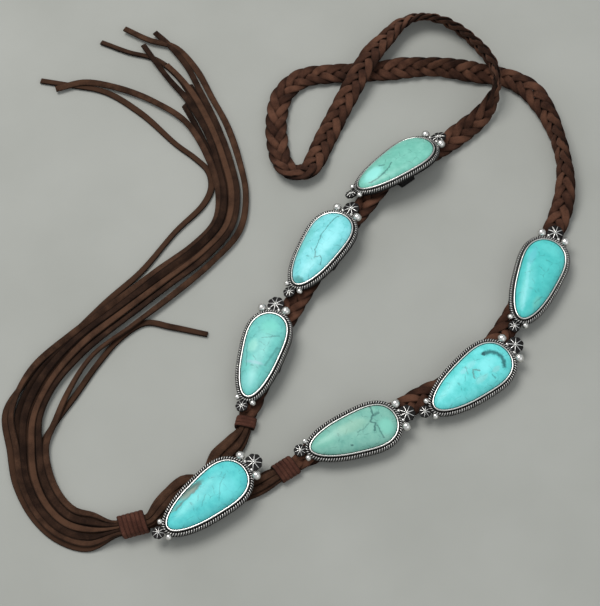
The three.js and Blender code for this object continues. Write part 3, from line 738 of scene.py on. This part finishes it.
# %% Plate and bezel
PLATE = Sizes(margin=2.8, thick=0.8, bevel=0.2, patina=0.75)
BEZEL = Sizes(grow=0.64, half_thick=0.36, low=0.7, high=2.95, lean=0.12)
BEZEL_SECTION = (14, 4.0)
BEZEL_RUBBED = rubbed((0.8, 0.0), (0.5, 0.3), (-2, 0.95))
OUTLINE_POINTS = 120


def plate(bench):
    rim, _ = even_outline(bench.concho, PLATE.margin, OUTLINE_POINTS)
    bench.disc([(at.x, at.y) for at, _ in rim], 0.0, PLATE.thick, PLATE.bevel, PLATE.patina)


def bezel(bench):
    rim, _ = even_outline(bench.concho, BEZEL.grow, OUTLINE_POINTS)
    middle, half = (BEZEL.low + BEZEL.high) / 2, (BEZEL.high - BEZEL.low) / 2
    stations = []
    for at, out in rim:
        stations.append((at + UP * middle, out * BEZEL.half_thick, UP * half - out * BEZEL.lean))
    bench.tube(stations, BEZEL_SECTION, BEZEL_RUBBED, closed=True)


# %% [markdown]
# Outside the bezel lies a rope border: two round wires twisted together. Twisting is a helix
# round the outline, and a whole number of twists makes the rope meet itself. A picture of a rope
# on a plain ring would be quicker, but it would look flat where the rope catches the light.

# %% Rope border
ROPE = Sizes(grow=1.96, middle=1.32, wire=0.44, twist_radius=0.52, twist=2.3, per_twist=10)
ROPE_MEASURE = 60
ROPE_SECTION = (8, 2.0)
ROPE_RUBBED = rubbed((0.85, 0.15), (0.5, 0.6), (-2, 1.0))


def rope(bench):
    _, length = even_outline(bench.concho, ROPE.grow, ROPE_MEASURE)
    count = round(length / ROPE.twist) * ROPE.per_twist
    rim, _ = even_outline(bench.concho, ROPE.grow, count)
    for strand in (0, 1):
        middles = []
        for i, (at, out) in enumerate(rim):
            angle = 2 * math.pi * (i / ROPE.per_twist + strand / 2)
            away = out * math.cos(angle) + UP * math.sin(angle)
            middles.append((at + UP * ROPE.middle + away * ROPE.twist_radius, away))
        stations = []
        for i, (at, away) in enumerate(middles):
            along = (middles[(i + 1) % count][0] - middles[i - 1][0]).normalized()
            side = along.cross(away).normalized()
            high = along.cross(side) * ROPE.wire
            stations.append((at, side * ROPE.wire, high if high.dot(away) > 0 else -high))
        bench.tube(stations, ROPE_SECTION, ROPE_RUBBED, closed=True)


# %% [markdown]
# The back of a concho isn't seen when it is worn. A plain strap is soldered there, bent from a
# flat strip, and the plait passes through it. Nobody rubs it, so it stays black, and the black
# also stands in as painted shadow where it shows under the concho.

# %% Strap
STRAP_BURIED = 0.1
STRAP_SECTION = (16, 8.0)
# Black oxide, and painted shadow where the strap shows under a concho.
BLACK = rubbed((-2, 1.0))


def strap(bench):
    concho = bench.concho
    thick, half = STRAP.thick, STRAP.thick / 2
    middle = hold_of(concho).half_wide + CLEAR + half
    low = -strap_depth(concho) + half
    corners = [(-middle, STRAP_BURIED), (-middle, low), (middle, low), (middle, STRAP_BURIED)]
    for first, second in zip(corners, corners[1:]):
        start, end = [Vector((0, concho.aside + y, z)) for y, z in (first, second)]
        along = (end - start).normalized()
        start, end = start - along * half, end + along * half
        start.z, end.z = min(start.z, STRAP_BURIED), min(end.z, STRAP_BURIED)
        long_way = Vector((STRAP.long / 2, 0, 0))
        high_way = long_way.normalized().cross(along) * half
        stations = [(at, long_way, high_way) for at in (start, end)]
        bench.tube(stations, STRAP_SECTION, BLACK)


# %% [markdown]
# At each end of a concho sits a little cast daisy between two balls. The daisy is a dark saucer
# with a scalloped edge, one scallop to a petal. Between the petals thin bright ribs run out from
# the heart, thickest at the heart and lowest at the edge, and a small ball is the heart.

# %% Daisies and balls
BROAD_DAISY = Sizes(radius=4.0, rib=0.31, heart=0.75, ball=2.1, middle=0, ball_angle=17)
SMALL_DAISY = Sizes(radius=2.9, rib=0.24, heart=0.55, ball=1.4, middle=176, ball_angle=15)
SAUCER = Sizes(low=0.3, high=1.15, bevel=0.15, patina=0.75, scallop=0.1, per_petal=8)
RIB = Sizes(high=1.5, dish=0.4, thinner=0.35, tall=1.3, steps=6)
RIB_SECTION = (6, 2.0)
RIB_RUBBED = rubbed((0.3, 0.0), (-2, 0.8))
END_TRIM = Sizes(petals=8, stand=0.76, lap=0.7, heart_high=1.6, ball_high=0.8)
TINY = Sizes(angle=7.5, out=0.3, high=1.5, radius=0.85)


def daisy(bench, kind, heart, turn):
    petals, radius = END_TRIM.petals, kind.radius
    count = petals * SAUCER.per_petal
    scallops = []
    for i in range(count):
        angle = 2 * math.pi * i / count
        reach = radius * (1 - SAUCER.scallop * abs(math.cos(angle * petals / 2)) ** 4)
        scallops.append((heart.x + reach * math.cos(angle + turn), heart.y + reach * math.sin(angle + turn)))
    bench.disc(scallops, SAUCER.low, SAUCER.high, SAUCER.bevel, SAUCER.patina)
    first, last = kind.heart / 2, radius * (1 - SAUCER.scallop)
    for rib in range(petals):
        way = Matrix.Rotation(turn + 2 * math.pi * rib / petals, 3, "Z") @ Vector((1, 0, 0))
        side = UP.cross(way)
        stations = []
        for step in range(RIB.steps + 1):
            share = step / RIB.steps
            thick = kind.rib * (1 - RIB.thinner * share)
            lift = RIB.high - RIB.dish * share ** 2
            at = heart + way * between(first, last, share) + UP * lift
            stations.append((at, side * thick, UP * thick * RIB.tall))
        bench.tube(stations, RIB_SECTION, RIB_RUBBED)
    bench.ball(heart + UP * END_TRIM.heart_high, kind.heart)


def end_trim(bench, kind, middle):
    """A daisy and its two balls, in a direction from the middle of the stone, in degrees."""
    angle = math.radians(middle)
    at = teardrop(bench.concho, angle, PLATE.margin + END_TRIM.stand * kind.radius)
    daisy(bench, kind, at, angle)
    for side in (-1, 1):
        ball_angle = angle + side * math.radians(kind.ball_angle)
        at = teardrop(bench.concho, ball_angle, PLATE.margin + kind.ball - END_TRIM.lap)
        bench.ball(at + UP * kind.ball * END_TRIM.ball_high, kind.ball)


def tiny_beads(bench, middle):
    for side in (-1, 1):
        angle = math.radians(middle + side * TINY.angle)
        at = teardrop(bench.concho, angle, PLATE.margin + TINY.out)
        bench.ball(at + UP * TINY.high, TINY.radius, detail=2)


# %% [markdown]
# Everything but the stone is now soldered together. Each setting is one piece, as on the real
# concho, where the solder leaves no joint to see.

# %% The seven settings
def setting(concho):
    bench = Bench(concho)
    for part in (plate, bezel, rope, strap):
        part(bench)
    broad_end = BROAD_DAISY.middle + concho.turn
    end_trim(bench, BROAD_DAISY, broad_end)
    end_trim(bench, SMALL_DAISY, SMALL_DAISY.middle)
    tiny_beads(bench, broad_end)
    number = concho.number
    bench.set_down(f"silver_setting_{number}", SILVER, f"setting_{number}")


for concho in CONCHOS:
    setting(concho)

# %% [markdown]
# Turquoise runs from sky blue to green in one soft cloud after another, and the rock it grew in
# is left as fine dark veins. No two stones are alike, so each has a row of its own. `base` and
# `deep` are the two colours of the clouds. A patch is a soft spot of another colour, given by its
# middle, its half sizes and its strength. A vein is a line through a few points, with a colour, a
# half width and a strength. All of it is in millimetres from the stone's middle.

# %% What each stone looks like
DARK_TEAL, BROWN, GREY_LILAC = (0.02, 0.10, 0.10), (0.10, 0.075, 0.06), (0.34, 0.50, 0.60)
STONES = rows_of(
    "base deep patches veins",
    ((0.20, 0.56, 0.46), (0.14, 0.46, 0.37),
     [(-12.5, -0.5, 6.5, 4.5, 0.9, (0.30, 0.78, 0.72)),
      (9, 3, 8, 6, 0.4, (0.16, 0.52, 0.42))],
     [([(-17, -3.2), (-14, -4.6), (-9, -4.8), (-5, -4.0), (-2, -2.2)], DARK_TEAL, 0.28, 0.7),
      ([(-7.2, 1.0), (-5.4, -0.6)], DARK_TEAL, 0.35, 0.55)]),
    ((0.25, 0.72, 0.76), (0.15, 0.58, 0.60),
     [(-19.2, -0.8, 1.8, 3.2, 0.8, (0.05, 0.25, 0.24)),
      (6, -3.5, 10, 3.5, 0.6, (0.30, 0.80, 0.84)),
      (0, 7, 14, 2.6, 0.5, (0.14, 0.55, 0.52))],
     [([(19, 0.2), (17, 0.8), (10.5, 1.3), (5, 1.2), (1, 0.2), (-3, -0.4),
      (-4.6, -1.6), (-6.4, -2.2), (-4.6, -4), (-5.6, -5.4), (-8.2, -6.2)], DARK_TEAL, 0.2, 0.6)]),
    ((0.17, 0.58, 0.53), (0.12, 0.46, 0.43),
     [(2.3, 3.8, 4, 2.8, 0.8, (0.28, 0.66, 0.57)),
      (-14, 0.7, 5, 4.5, 0.6, (0.25, 0.66, 0.63)),
      (-5.6, 0.8, 1.0, 5.5, 0.45, GREY_LILAC), (13, -1, 4.5, 5, 0.6, (0.18, 0.64, 0.53))],
     [([(-8, 4), (-3, 5.2), (3.2, 7)], DARK_TEAL, 0.2, 0.4),
      ([(6.8, 0.6), (8, -2.6), (9.6, -6.6)], DARK_TEAL, 0.2, 0.5),
      ([(-6, -4.6), (-1, -6), (4, -7.4)], DARK_TEAL, 0.3, 0.35)]),
    ((0.22, 0.50, 0.41), (0.15, 0.41, 0.34),
     [(14.5, -2.6, 4, 4.5, 0.8, (0.22, 0.62, 0.50)),
      (0, 2.5, 9, 3.4, 0.5, (0.27, 0.49, 0.37)),
      (-14, 1, 6, 3.6, 0.5, (0.15, 0.47, 0.36)), (-3.1, -5.4, 0.8, 0.5, 0.8, DARK_TEAL)],
     [([(11.2, 8.4), (10.6, 4.2), (8.4, 1.8), (10.4, 0.2), (8.8, -2.6)], DARK_TEAL, 0.32, 0.75),
      ([(13.4, 4.6), (10.8, 4.0)], DARK_TEAL, 0.4, 0.6),
      ([(10.6, -1), (11.6, -6.8)], DARK_TEAL, 0.25, 0.6),
      ([(7.6, 1.2), (4.6, -0.4), (1.4, -0.9)], DARK_TEAL, 0.2, 0.45)]),
    ((0.16, 0.72, 0.72), (0.09, 0.58, 0.57),
     [(-1.5, 4.4, 2.2, 1.4, 0.4, (0.33, 0.66, 0.74)),
      (3.4, 4.6, 3, 1.8, 0.35, (0.30, 0.66, 0.70)),
      (2.6, -3.4, 4.2, 1.8, 0.35, (0.38, 0.68, 0.66)),
      (11, -4, 3, 1.4, 0.4, (0.34, 0.62, 0.62)),
      (9, 0.4, 6.5, 4, 0.6, (0.27, 0.86, 0.88)),
      (11.3, 5.1, 1.3, 1.1, 0.95, (0.01, 0.06, 0.07))],
     [([(11.4, 5.2), (14.6, 4), (16.6, 1.8), (17.2, -0.8), (16.4, -3.4), (15.2, -5)],
       (0.01, 0.09, 0.10), 0.75, 0.85),
      ([(0.2, -1.4), (1, 0.6), (2.4, 2.4), (4.4, 0.2)], BROWN, 0.3, 0.55),
      ([(8, -5), (8.2, -7)], DARK_TEAL, 0.25, 0.5),
      ([(-1, 2), (0.6, 5.4)], BROWN, 0.2, 0.35)]),
    ((0.09, 0.58, 0.56), (0.06, 0.49, 0.48),
     [(-8, 2.4, 12, 2.6, 0.45, (0.15, 0.62, 0.62)), (9, 6, 7, 2, 0.5, (0.12, 0.50, 0.58)),
      (-12.5, -3.8, 4, 2, 0.45, (0.18, 0.56, 0.46)),
      (16, -1, 3.5, 6, 0.4, (0.14, 0.66, 0.64))],
     [([(-18, 1), (-8, 3), (4.7, 6.4)], (0.22, 0.70, 0.74), 0.5, 0.4),
      ([(-13, -3), (-9, -5)], DARK_TEAL, 0.2, 0.35)]),
    ((0.11, 0.62, 0.62), (0.07, 0.50, 0.52),
     [(-3, 6.6, 7.5, 1.9, 0.95, (0.10, 0.17, 0.15)),
      (-5, 5.6, 6, 1.3, 0.7, (0.30, 0.36, 0.30)),
      (-13.3, 4.3, 4, 1.1, 0.6, (0.17, 0.35, 0.31)), (9, -3, 6, 5, 0.5, (0.18, 0.74, 0.76))],
     [([(-4.4, -2.6), (-2, -1), (0, 0.4)], DARK_TEAL, 0.2, 0.3),
      ([(3.2, -5.4), (8, 0), (13, 2.4)], DARK_TEAL, 0.2, 0.3),
      ([(-14, 3.4), (-9, 4.4), (-4, 4.6), (1.5, 5.6)], BROWN, 0.35, 0.5)]),
)

# %% [markdown]
# A patch is full in its middle and fades over its edge. A vein is found by asking how far each
# place lies from the line: the closest of its straight stretches counts.

# %% Patches and veins
PATCH_FADE = Sizes(none=1.15, full=0.45)
VEIN_FADE = Sizes(none=2.2, full=0.3)


def patch_share(tree, place, middle, sizes):
    offset = vector_maths(tree, "SUBTRACT", place, (*middle, 0))
    scaled = vector_maths(tree, "DIVIDE", offset, (*sizes, 1))
    far = vector_maths(tree, "LENGTH", scaled, output="Value")
    return smooth_share(tree, far, PATCH_FADE.none, PATCH_FADE.full)


def distance_to(tree, place, start, end):
    """How far a place lies from the straight line between two points."""
    start, way = Vector((*start, 0)), Vector((*end, 0)) - Vector((*start, 0))
    offset = vector_maths(tree, "SUBTRACT", place, start)
    along = vector_maths(tree, "DOT_PRODUCT", offset, way / way.length_squared, output="Value")
    share = maths(tree, "MULTIPLY", along, 1.0, clamp=True)
    nearest = vector_maths(tree, "MULTIPLY", share, way)
    return vector_maths(tree, "DISTANCE", offset, nearest, output="Value")


def vein_share(tree, place, points, half_wide):
    stretches = [distance_to(tree, place, start, end) for start, end in zip(points, points[1:])]
    nearest = stretches[0]
    for far in stretches[1:]:
        nearest = maths(tree, "MINIMUM", nearest, far)
    return smooth_share(tree, nearest, half_wide * VEIN_FADE.none, half_wide * VEIN_FADE.full)


# %% [markdown]
# Real veins follow cracks, so every place is pushed about by noise before it is looked up, and
# no patch or vein keeps a clean edge. A faint web of cracks shows between the clouds. The stones
# are drawn in their own flat coordinates, so that each vein stays where it is placed. Pictures of
# stones would be quicker, but they would blur close to and repeat.

# %% Turquoise
FLAT_UNIT = 10.0
CLOUDS = Sizes(scale=0.2, detail=6.0, roughness=0.62, deep=0.36, base=0.62)
WANDER = Sizes(scale=0.7, detail=3.0, far=1.6)
WEB = Sizes(scale=0.17, half_wide=0.045, strength=0.4, faint=0.3, none=0.45, full=0.65)
POLISH = {"Roughness": 0.38, "Specular IOR Level": 0.4}


def turquoise(number):
    look = STONES[number - 1]
    material, tree, shader = new_material(f"turquoise_{number}")
    flat = node(tree, "ShaderNodeUVMap", uv_map="flat").outputs["UV"]
    place = vector_maths(tree, "MULTIPLY", flat, (FLAT_UNIT, FLAT_UNIT, FLAT_UNIT))
    push = noise_at(tree, place, WANDER.scale, WANDER.detail, output="Color")
    push = vector_maths(tree, "SUBTRACT", push, (0.5, 0.5, 0.5))
    push = vector_maths(tree, "MULTIPLY", push, (WANDER.far, WANDER.far, 0))
    wandered = vector_maths(tree, "ADD", place, push)
    clouds = noise_at(tree, place, CLOUDS.scale, CLOUDS.detail, CLOUDS.roughness)
    color = ramp(tree, clouds, [(CLOUDS.deep, look.deep), (CLOUDS.base, look.base)])
    web = node(tree, "ShaderNodeTexVoronoi", feature="DISTANCE_TO_EDGE", Scale=WEB.scale)
    tree.links.new(wandered, web.inputs["Vector"])
    crack = smooth_share(tree, web.outputs["Distance"], WEB.half_wide, 0.0)
    faint = smooth_share(tree, noise_at(tree, place, WEB.faint), WEB.none, WEB.full)
    crack = maths(tree, "MULTIPLY", maths(tree, "MULTIPLY", crack, faint), WEB.strength)
    color = mixed(tree, crack, color, DARK_TEAL)
    for x, y, half_long, half_wide, strength, tint in look.patches:
        share = patch_share(tree, wandered, (x, y), (half_long, half_wide))
        color = mixed(tree, maths(tree, "MULTIPLY", share, strength), color, tint)
    for points, tint, half_wide, strength in look.veins:
        share = vein_share(tree, wandered, points, half_wide)
        color = mixed(tree, maths(tree, "MULTIPLY", share, strength), color, tint)
    set_surface(tree, shader, {"Base Color": color, **POLISH})
    return material


# %% [markdown]
# A cabochon is cut as a low polished dome with a short straight wall, which the bezel grips. Here
# it is a grid wrapped round the outline: its first rows climb the wall, and the rest close over
# the middle. A squashed ball would be simpler, but its top would be too round and its rim too thin.

# %% The seven cabochons
DOME = Sizes(round=96, rings=22, wall=2, fullness=2.3, softness=1.05)


def dome_place(rim, row):
    """Where a point of the outline has got to by this row of the dome."""
    if row <= DOME.wall:
        return Vector((rim.x, rim.y, between(STONE.base, STONE.girdle, row / DOME.wall)))
    share = math.cos(math.pi / 2 * (row - DOME.wall) / (DOME.rings - DOME.wall))
    rise = math.sqrt(max(0.0, 1 - share ** DOME.fullness)) ** DOME.softness
    return Vector((rim.x * share, rim.y * share, between(STONE.girdle, STONE.high, rise)))


def cabochon(concho):
    bench = Bench(concho)
    flat = bench.bm.loops.layers.uv.new("flat")
    outline = [teardrop(concho, 2 * math.pi * i / DOME.round) for i in range(DOME.round)]

    def place(vert, column, row):
        vert.co = dome_place(outline[column % DOME.round], row)

    roll_grid(bench.bm, DOME.round, DOME.rings, place)
    for face in bench.bm.faces:
        for loop in face.loops:
            loop[flat].uv = loop.vert.co.xy / FLAT_UNIT
    number = concho.number
    bench.set_down(f"cabochon_{number}", turquoise(number), f"stone_{number}")


for concho in CONCHOS:
    cabochon(concho)

# %% [markdown]
# Where the plait ends, and again above the fringe, a lace is wound tightly round the others and
# its ends are tucked away underneath. One winding is a lace carried along a coil whose shape
# is a rounded box, because it holds flat laces. Each turn bulges a little and has painted shade
# along its edges, so dark lines show between the turns. A ring for each turn would look the same,
# but a coil is how it is really tied.

# %% Wraps
LEFT_WRAP, RIGHT_WRAP, FRINGE_WRAP = rows_of(
    "name x y z heading turns half_wide half_high",
    ("left", -24.6, -60.6, 2.6, 76, 3, 3.6, 1.6),
    ("right", -6.4, -82.6, 2.6, 33, 5, 3.6, 1.6),
    ("fringe", -73.3, -108.3, 4.1, 195, 6, 4.0, 3.0),
)
TURN = Sizes(pitch=2.3, half_wide=1.17, half_thick=0.58, per_turn=40, slant=0.14)
WRAP_SQUARENESS = 3.4
WOUND_UNEVEN = (0.12, 0.06, 1.0, 0.0)
WOUND_LACE = Sizes(sides=14, squareness=2.2)


def on_axis(wrap, along, high=0.0):
    """A point on a wrap's middle line, or above it."""
    heading = math.radians(wrap.heading)
    x, y = wrap.x + along * math.cos(heading), wrap.y + along * math.sin(heading)
    return Vector((x, y, wrap.z + high))


def half_long(wrap):
    return wrap.turns * TURN.pitch / 2


def coil(wrap):
    """The middle of the wound lace, from one end of the wrap to the other."""
    side = UP.cross(on_axis(wrap, 1) - on_axis(wrap, 0))
    turns, per_turn = wrap.turns, TURN.per_turn
    count = turns * per_turn
    pitch = (TURN.pitch - 2 * TURN.half_wide / count) * (turns - 1) / turns
    middles = []
    for i in range(count + 1):
        angle = -math.pi / 2 + 2 * math.pi * i / per_turn
        across, up = soft_corner(angle, WRAP_SQUARENESS)
        out = TURN.half_thick + drift(WOUND_UNEVEN, i, wrap.x)
        along = (i / per_turn - turns / 2) * pitch + TURN.slant * math.sin(angle)
        across *= wrap.half_wide + out
        up *= wrap.half_high + out
        middles.append(on_axis(wrap, along, up) + side * across)
    return middles


def winding(wrap):
    middle = on_axis(wrap, 0)
    along = on_axis(wrap, 1) - middle
    middles = coil(wrap)
    stations = []
    for i, at in enumerate(middles):
        away = at - on_axis(wrap, (at - middle).dot(along))
        ahead = (middles[min(i + 1, len(middles) - 1)] - middles[max(i - 1, 0)]).normalized()
        out = (away - ahead * away.dot(ahead)).normalized()
        stations.append((at, ahead.cross(out) * TURN.half_wide, out * TURN.half_thick))

    # Painted shade towards the lace's edges, for the dark lines between the turns.
    def shade(row, across, up):
        return min(1.3, edge_shade(across, 0.6, 4.0))

    bm = bmesh.new()
    roll_lace(bm, stations, WOUND_LACE.squareness, shade, sides=WOUND_LACE.sides)
    finish_piece(f"{wrap.name}_winding", bm, WRAP_SUEDE, f"{wrap.name}_wrap")


for wrap in (LEFT_WRAP, RIGHT_WRAP, FRINGE_WRAP):
    winding(wrap)

# %% [markdown]
# Below the last concho the laces are single bands. A band follows a line, but it may lie beside
# it or above it, turn about itself and change its width. Where a turned edge would sink into the
# table, the band is lifted until it rests on it, as a real one would.

# %% A band beside a line
REST_ON = 0.12


def band_stations(line, step, shape_at):
    """`shape_at` gives the half width and thickness, a turn in degrees, and a shift aside and up."""
    steps = round(line.length / step)
    stations = []
    for i in range(steps + 1):
        distance = line.length * i / steps
        along = line.along(distance)
        side = UP.cross(along).normalized()
        up = along.cross(side)
        half_wide, half_thick, roll, across, high = shape_at(distance)
        turn = Matrix.Rotation(math.radians(roll), 3, along)
        at = line.at(distance) + side * across + up * high
        wide, thick = turn @ side * half_wide, turn @ up * half_thick
        at.z = max(at.z, math.hypot(wide.z, thick.z) + REST_ON)
        stations.append((at, wide, thick))
    return stations


# %% [markdown]
# Between each wrap and the fringe the five laces run loose, side by side and one on another. They
# are five separate bands with rounded edges. In the wraps they are packed three below and two
# above, and between them they slide apart a little. Each point of a bundle's line is followed by
# how far its laces have spread there, and each lace by its place in the wraps and its loose one.

# %% Loose laces below the last concho
LEFT_BUNDLE = [
    (-29.5, -70.4, 1.8, 1.3), (-35, -77, 1.6, 1.6), (-38.6, -84, 1.6, 1.25), (-43.2, -88.8, 1.6, 1.05),
    (-50.7, -90, 2, 1.4), (-56.4, -94.4, 3.8, 1), (-61.5, -100.8, 5.3, 1),
]
RIGHT_BUNDLE = [
    (-18.5, -90, 2.4, 1.2), (-26.2, -92.6, 2.5, 1.5), (-33.8, -95.2, 2.5, 1), (-40.2, -98.9, 2.5, 1),
    (-46.8, -103.1, 2.5, 1), (-56, -105.2, 2.6, 1),
]
BUNDLE_LACES = rows_of(
    "across up loose_across loose_up roll",
    (-2.0, -0.65, -2.9, -0.5, 12),
    (0.0, -0.65, -0.3, -0.7, -6),
    (2.0, -0.65, 2.6, -0.4, 16),
    (-1.1, 0.65, -1.6, 0.75, -14),
    (1.1, 0.65, 1.3, 0.8, 9),
)
LOOSE_LACE = Sizes(half_wide=1.5, packed=1.05, half_thick=0.6, step=1.5, squareness=3.2)
OPENING = Sizes(after=4.0, over=10.0)
SWAY = (0.35, 0.05, 1.0, 0.0)
SWAY_APART = 3.1
LOOSE_TONE = (0.7, 2.3, 1.0, 5.5)
INTO_WRAP = Sizes(past=0.5, inside=4.0)


def bundle_lace(bm, number, line, seed):
    lace = BUNDLE_LACES[number]

    def shape_at(distance):
        room = min(distance, line.length - distance) - OPENING.after
        opened = eased(room / OPENING.over)
        half_wide = between(LOOSE_LACE.packed, LOOSE_LACE.half_wide, opened)
        across = between(lace.across, lace.loose_across, opened) * line.extra(distance)
        across += opened * drift(SWAY, distance, seed * SWAY_APART + number)
        up = between(lace.up, lace.loose_up, opened)
        return half_wide, LOOSE_LACE.half_thick, opened * lace.roll, across, up

    # Painted shade: darker towards the edges and on the underside.
    def shade(row, across, up):
        return edge_shade(across, 0.8, 3.0) + (0.4 if up < 0 else 0)

    stations = band_stations(line, LOOSE_LACE.step, shape_at)
    roll_lace(bm, stations, LOOSE_LACE.squareness, shade, drift(LOOSE_TONE, number, seed))


def bundle(start, rows, layer, seed):
    """The laces leave their own wrap and go into the fringe's, one bundle above the other."""
    first = [on_axis(start, way * half_long(start) - INTO_WRAP.past) for way in (1, -1)]
    ends = (-INTO_WRAP.past, INTO_WRAP.inside)
    last = [on_axis(FRINGE_WRAP, end - half_long(FRINGE_WRAP), layer) for end in ends]
    line = Line([*first, *[row[:3] for row in rows], *last], [1, 1, *[row[3] for row in rows], 1, 1])
    bm = bmesh.new()
    for number in range(len(BUNDLE_LACES)):
        bundle_lace(bm, number, line, seed)
    finish_piece(f"{start.name}_loose_laces", bm, SUEDE, f"{start.name}_bundle")


bundle(LEFT_WRAP, LEFT_BUNDLE, 1.25, 1)
bundle(RIGHT_WRAP, RIGHT_BUNDLE, -1.25, 2)

# %% [markdown]
# The fringe is ten lace tails that come out of the wrap together, swing round in one bend and
# part at the top. All of them follow one line, each in its own lane and layer, until they leave
# it for their own ends. On the line, each point's word says which part of the bend it is in, and a
# tail may stray from its lane in the turn and on the slope.

# %% The fringe's line and its ten tails
FRINGE_LINE = [
    (-80.5, -110, "bend"), (-92, -111, "bend"), (-103, -108, "bend"), (-112, -100, "bend"),
    (-119, -87, "bend"), (-122, -72, "bend"), (-122.5, -57, "turn"), (-116, -40, "turn"),
    (-102, -22, "slope"), (-84, -6, "slope"), (-65, 10.5, "slope"), (-46.5, 26, "rise"),
    (-36, 40, "rise"), (-34, 56, "rise"), (-38, 75, "rise"), (-44, 92, "rise"),
]
TAILS = rows_of(
    "slot layer turn slope follow roll tip",
    (2, 0, 3, 0, 7, 22, [(-127, -42), (-119, -28.5), (-106, -16), (-91.5, -0.5), (-76, 15), (-60, 37),
     (-46.5, 52), (-43, 61), (-44.5, 70), (-51, 77.5), (-60, 85), (-78, 102), (-97, 114), (-116, 118),
     (-130, 121)]),
    (1, 0, 2, 0.5, 15, 35, [(-49, 89), (-58, 107)]),
    (0, 0, 0, 0, 16, 25, [(-53, 111), (-62, 125), (-73, 134), (-87, 138), (-101, 144)]),
    (-1, 0, 0, 0, 16, 40, [(-49, 108), (-55, 119)]),
    (-2, 0, 0, 0, 6, 18, [(-111, -61), (-102, -47), (-93, -31.5), (-83.5, -18.5), (-72, -10.5),
     (-60, -12.5), (-43, -16.5)]),
    (2, 1, 2.5, 0, 15, 32, [(-56, 97), (-73, 109), (-92, 117), (-108, 120), (-122, 116)]),
    (1, 1, 0, 0, 16, 24, [(-56, 109), (-65, 121), (-79, 142)]),
    (0, 1, 0, 0, 16, 38, [(-52.5, 111), (-60, 122), (-67, 130)]),
    (-1, 1, 0, -0.5, 16, 28, [(-49, 113), (-57, 129), (-66, 141), (-74, 149)]),
    (-2, 1, -4.5, -1.5, 16, 30, [(-44.5, 110), (-53, 128), (-63, 140.5), (-76, 145), (-89, 152)]),
)

# %% [markdown]
# In the wrap the tails are packed in two layers, and past it they open out flat in the same two
# layers. Each tail's own line starts in the wrap, keeps its lane along the shared line for as
# many points as its `follow` says, and then runs through the points of its tip.

# %% The line of one tail
TAIL = Sizes(thick=1.1, pitch=3.4, clear=0.3, step=2.0, squareness=3.6)
HEAD = Sizes(thick=2.1, pitch=1.42, inside=6, past=1)
NUDGE = 0.02


def tail_line(tail):
    wrap = FRINGE_WRAP
    aside = UP.cross(on_axis(wrap, 1) - on_axis(wrap, 0)) * tail.slot * HEAD.pitch
    up = (tail.layer - 0.5) * HEAD.thick
    points = [on_axis(wrap, half_long(wrap) + past, up) + aside for past in (-HEAD.inside, HEAD.past)]
    rest = BAND.floor + TAIL.thick / 2 + tail.layer * (TAIL.thick + TAIL.clear)
    shared = Line([(x, y, rest) for x, y, _ in FRINGE_LINE])
    stagger = -TAIL.pitch / 4 if tail.layer else TAIL.pitch / 4
    lane = tail.slot * TAIL.pitch + stagger
    strays = {"bend": 0, "turn": tail.turn, "slope": tail.slope, "rise": 0}
    for index in range(1, tail.follow):
        before, after = shared.raw(index - NUDGE), shared.raw(min(index + NUDGE, len(FRINGE_LINE) - 1))
        ahead = (after - before).normalized()
        points.append(shared.points[index] + UP.cross(ahead) * (lane + strays[FRINGE_LINE[index][2]]))
    points.extend((x, y, rest) for x, y in tail.tip)
    return Line(points)


# %% [markdown]
# Suede laces never lie perfectly flat, so each also rolls slowly from side to side and wanders a
# little in its lane, and its cut end is square. The lower layer is darker, because less light
# reaches it. A width or thickness is given twice: packed in the wrap, and open past it. The ten
# tails are one piece, as they are in the frame.

# %% Fringe
TAIL_TONES = (0.9, -0.3, 0.4, -0.6, 0.6, 0.2, -0.5, 0.7, -0.2, 0.3)
TAIL_OPENING = Sizes(after=5, over=22)
TAIL_HALF_WIDE = (0.66, 1.55)
TAIL_HALF_THICK = (1.0, 0.62)
TAIL_UNEVEN = (0.22, 0.03, 1.9, 8.0)
TAIL_ROLL = (2.2, 0.012, 5.7, 1.0)
TAIL_SWAY = (1.5, 0.016, 3.3, 4.0)
UNDER_LAYER_SHADE = 0.45


def fringe_tail(bm, number, tail):
    line = tail_line(tail)

    def shape_at(distance):
        opened = eased((distance - TAIL_OPENING.after) / TAIL_OPENING.over)
        half_wide = between(*TAIL_HALF_WIDE, opened) * (1 + drift(TAIL_UNEVEN, distance, number))
        half_thick = between(*TAIL_HALF_THICK, opened)
        roll = opened * tail.roll * drift(TAIL_ROLL, distance, number)
        return half_wide, half_thick, roll, opened * drift(TAIL_SWAY, distance, number), 0.0

    # Painted shade: the lower layer, the edges and the underside are darker.
    def shade(row, across, up):
        under = 0.0 if tail.layer else UNDER_LAYER_SHADE
        return under + edge_shade(across, 0.8, 4.0) + (0.3 if up < 0 else 0)

    stations = band_stations(line, TAIL.step, shape_at)
    roll_lace(bm, stations, TAIL.squareness, shade, TAIL_TONES[number])
    print("tail", number + 1, "is", round(line.length), "mm long")


bm = bmesh.new()
for number, tail in enumerate(TAILS):
    fringe_tail(bm, number, tail)
finish_piece("fringe_tails", bm, SUEDE, "fringe")
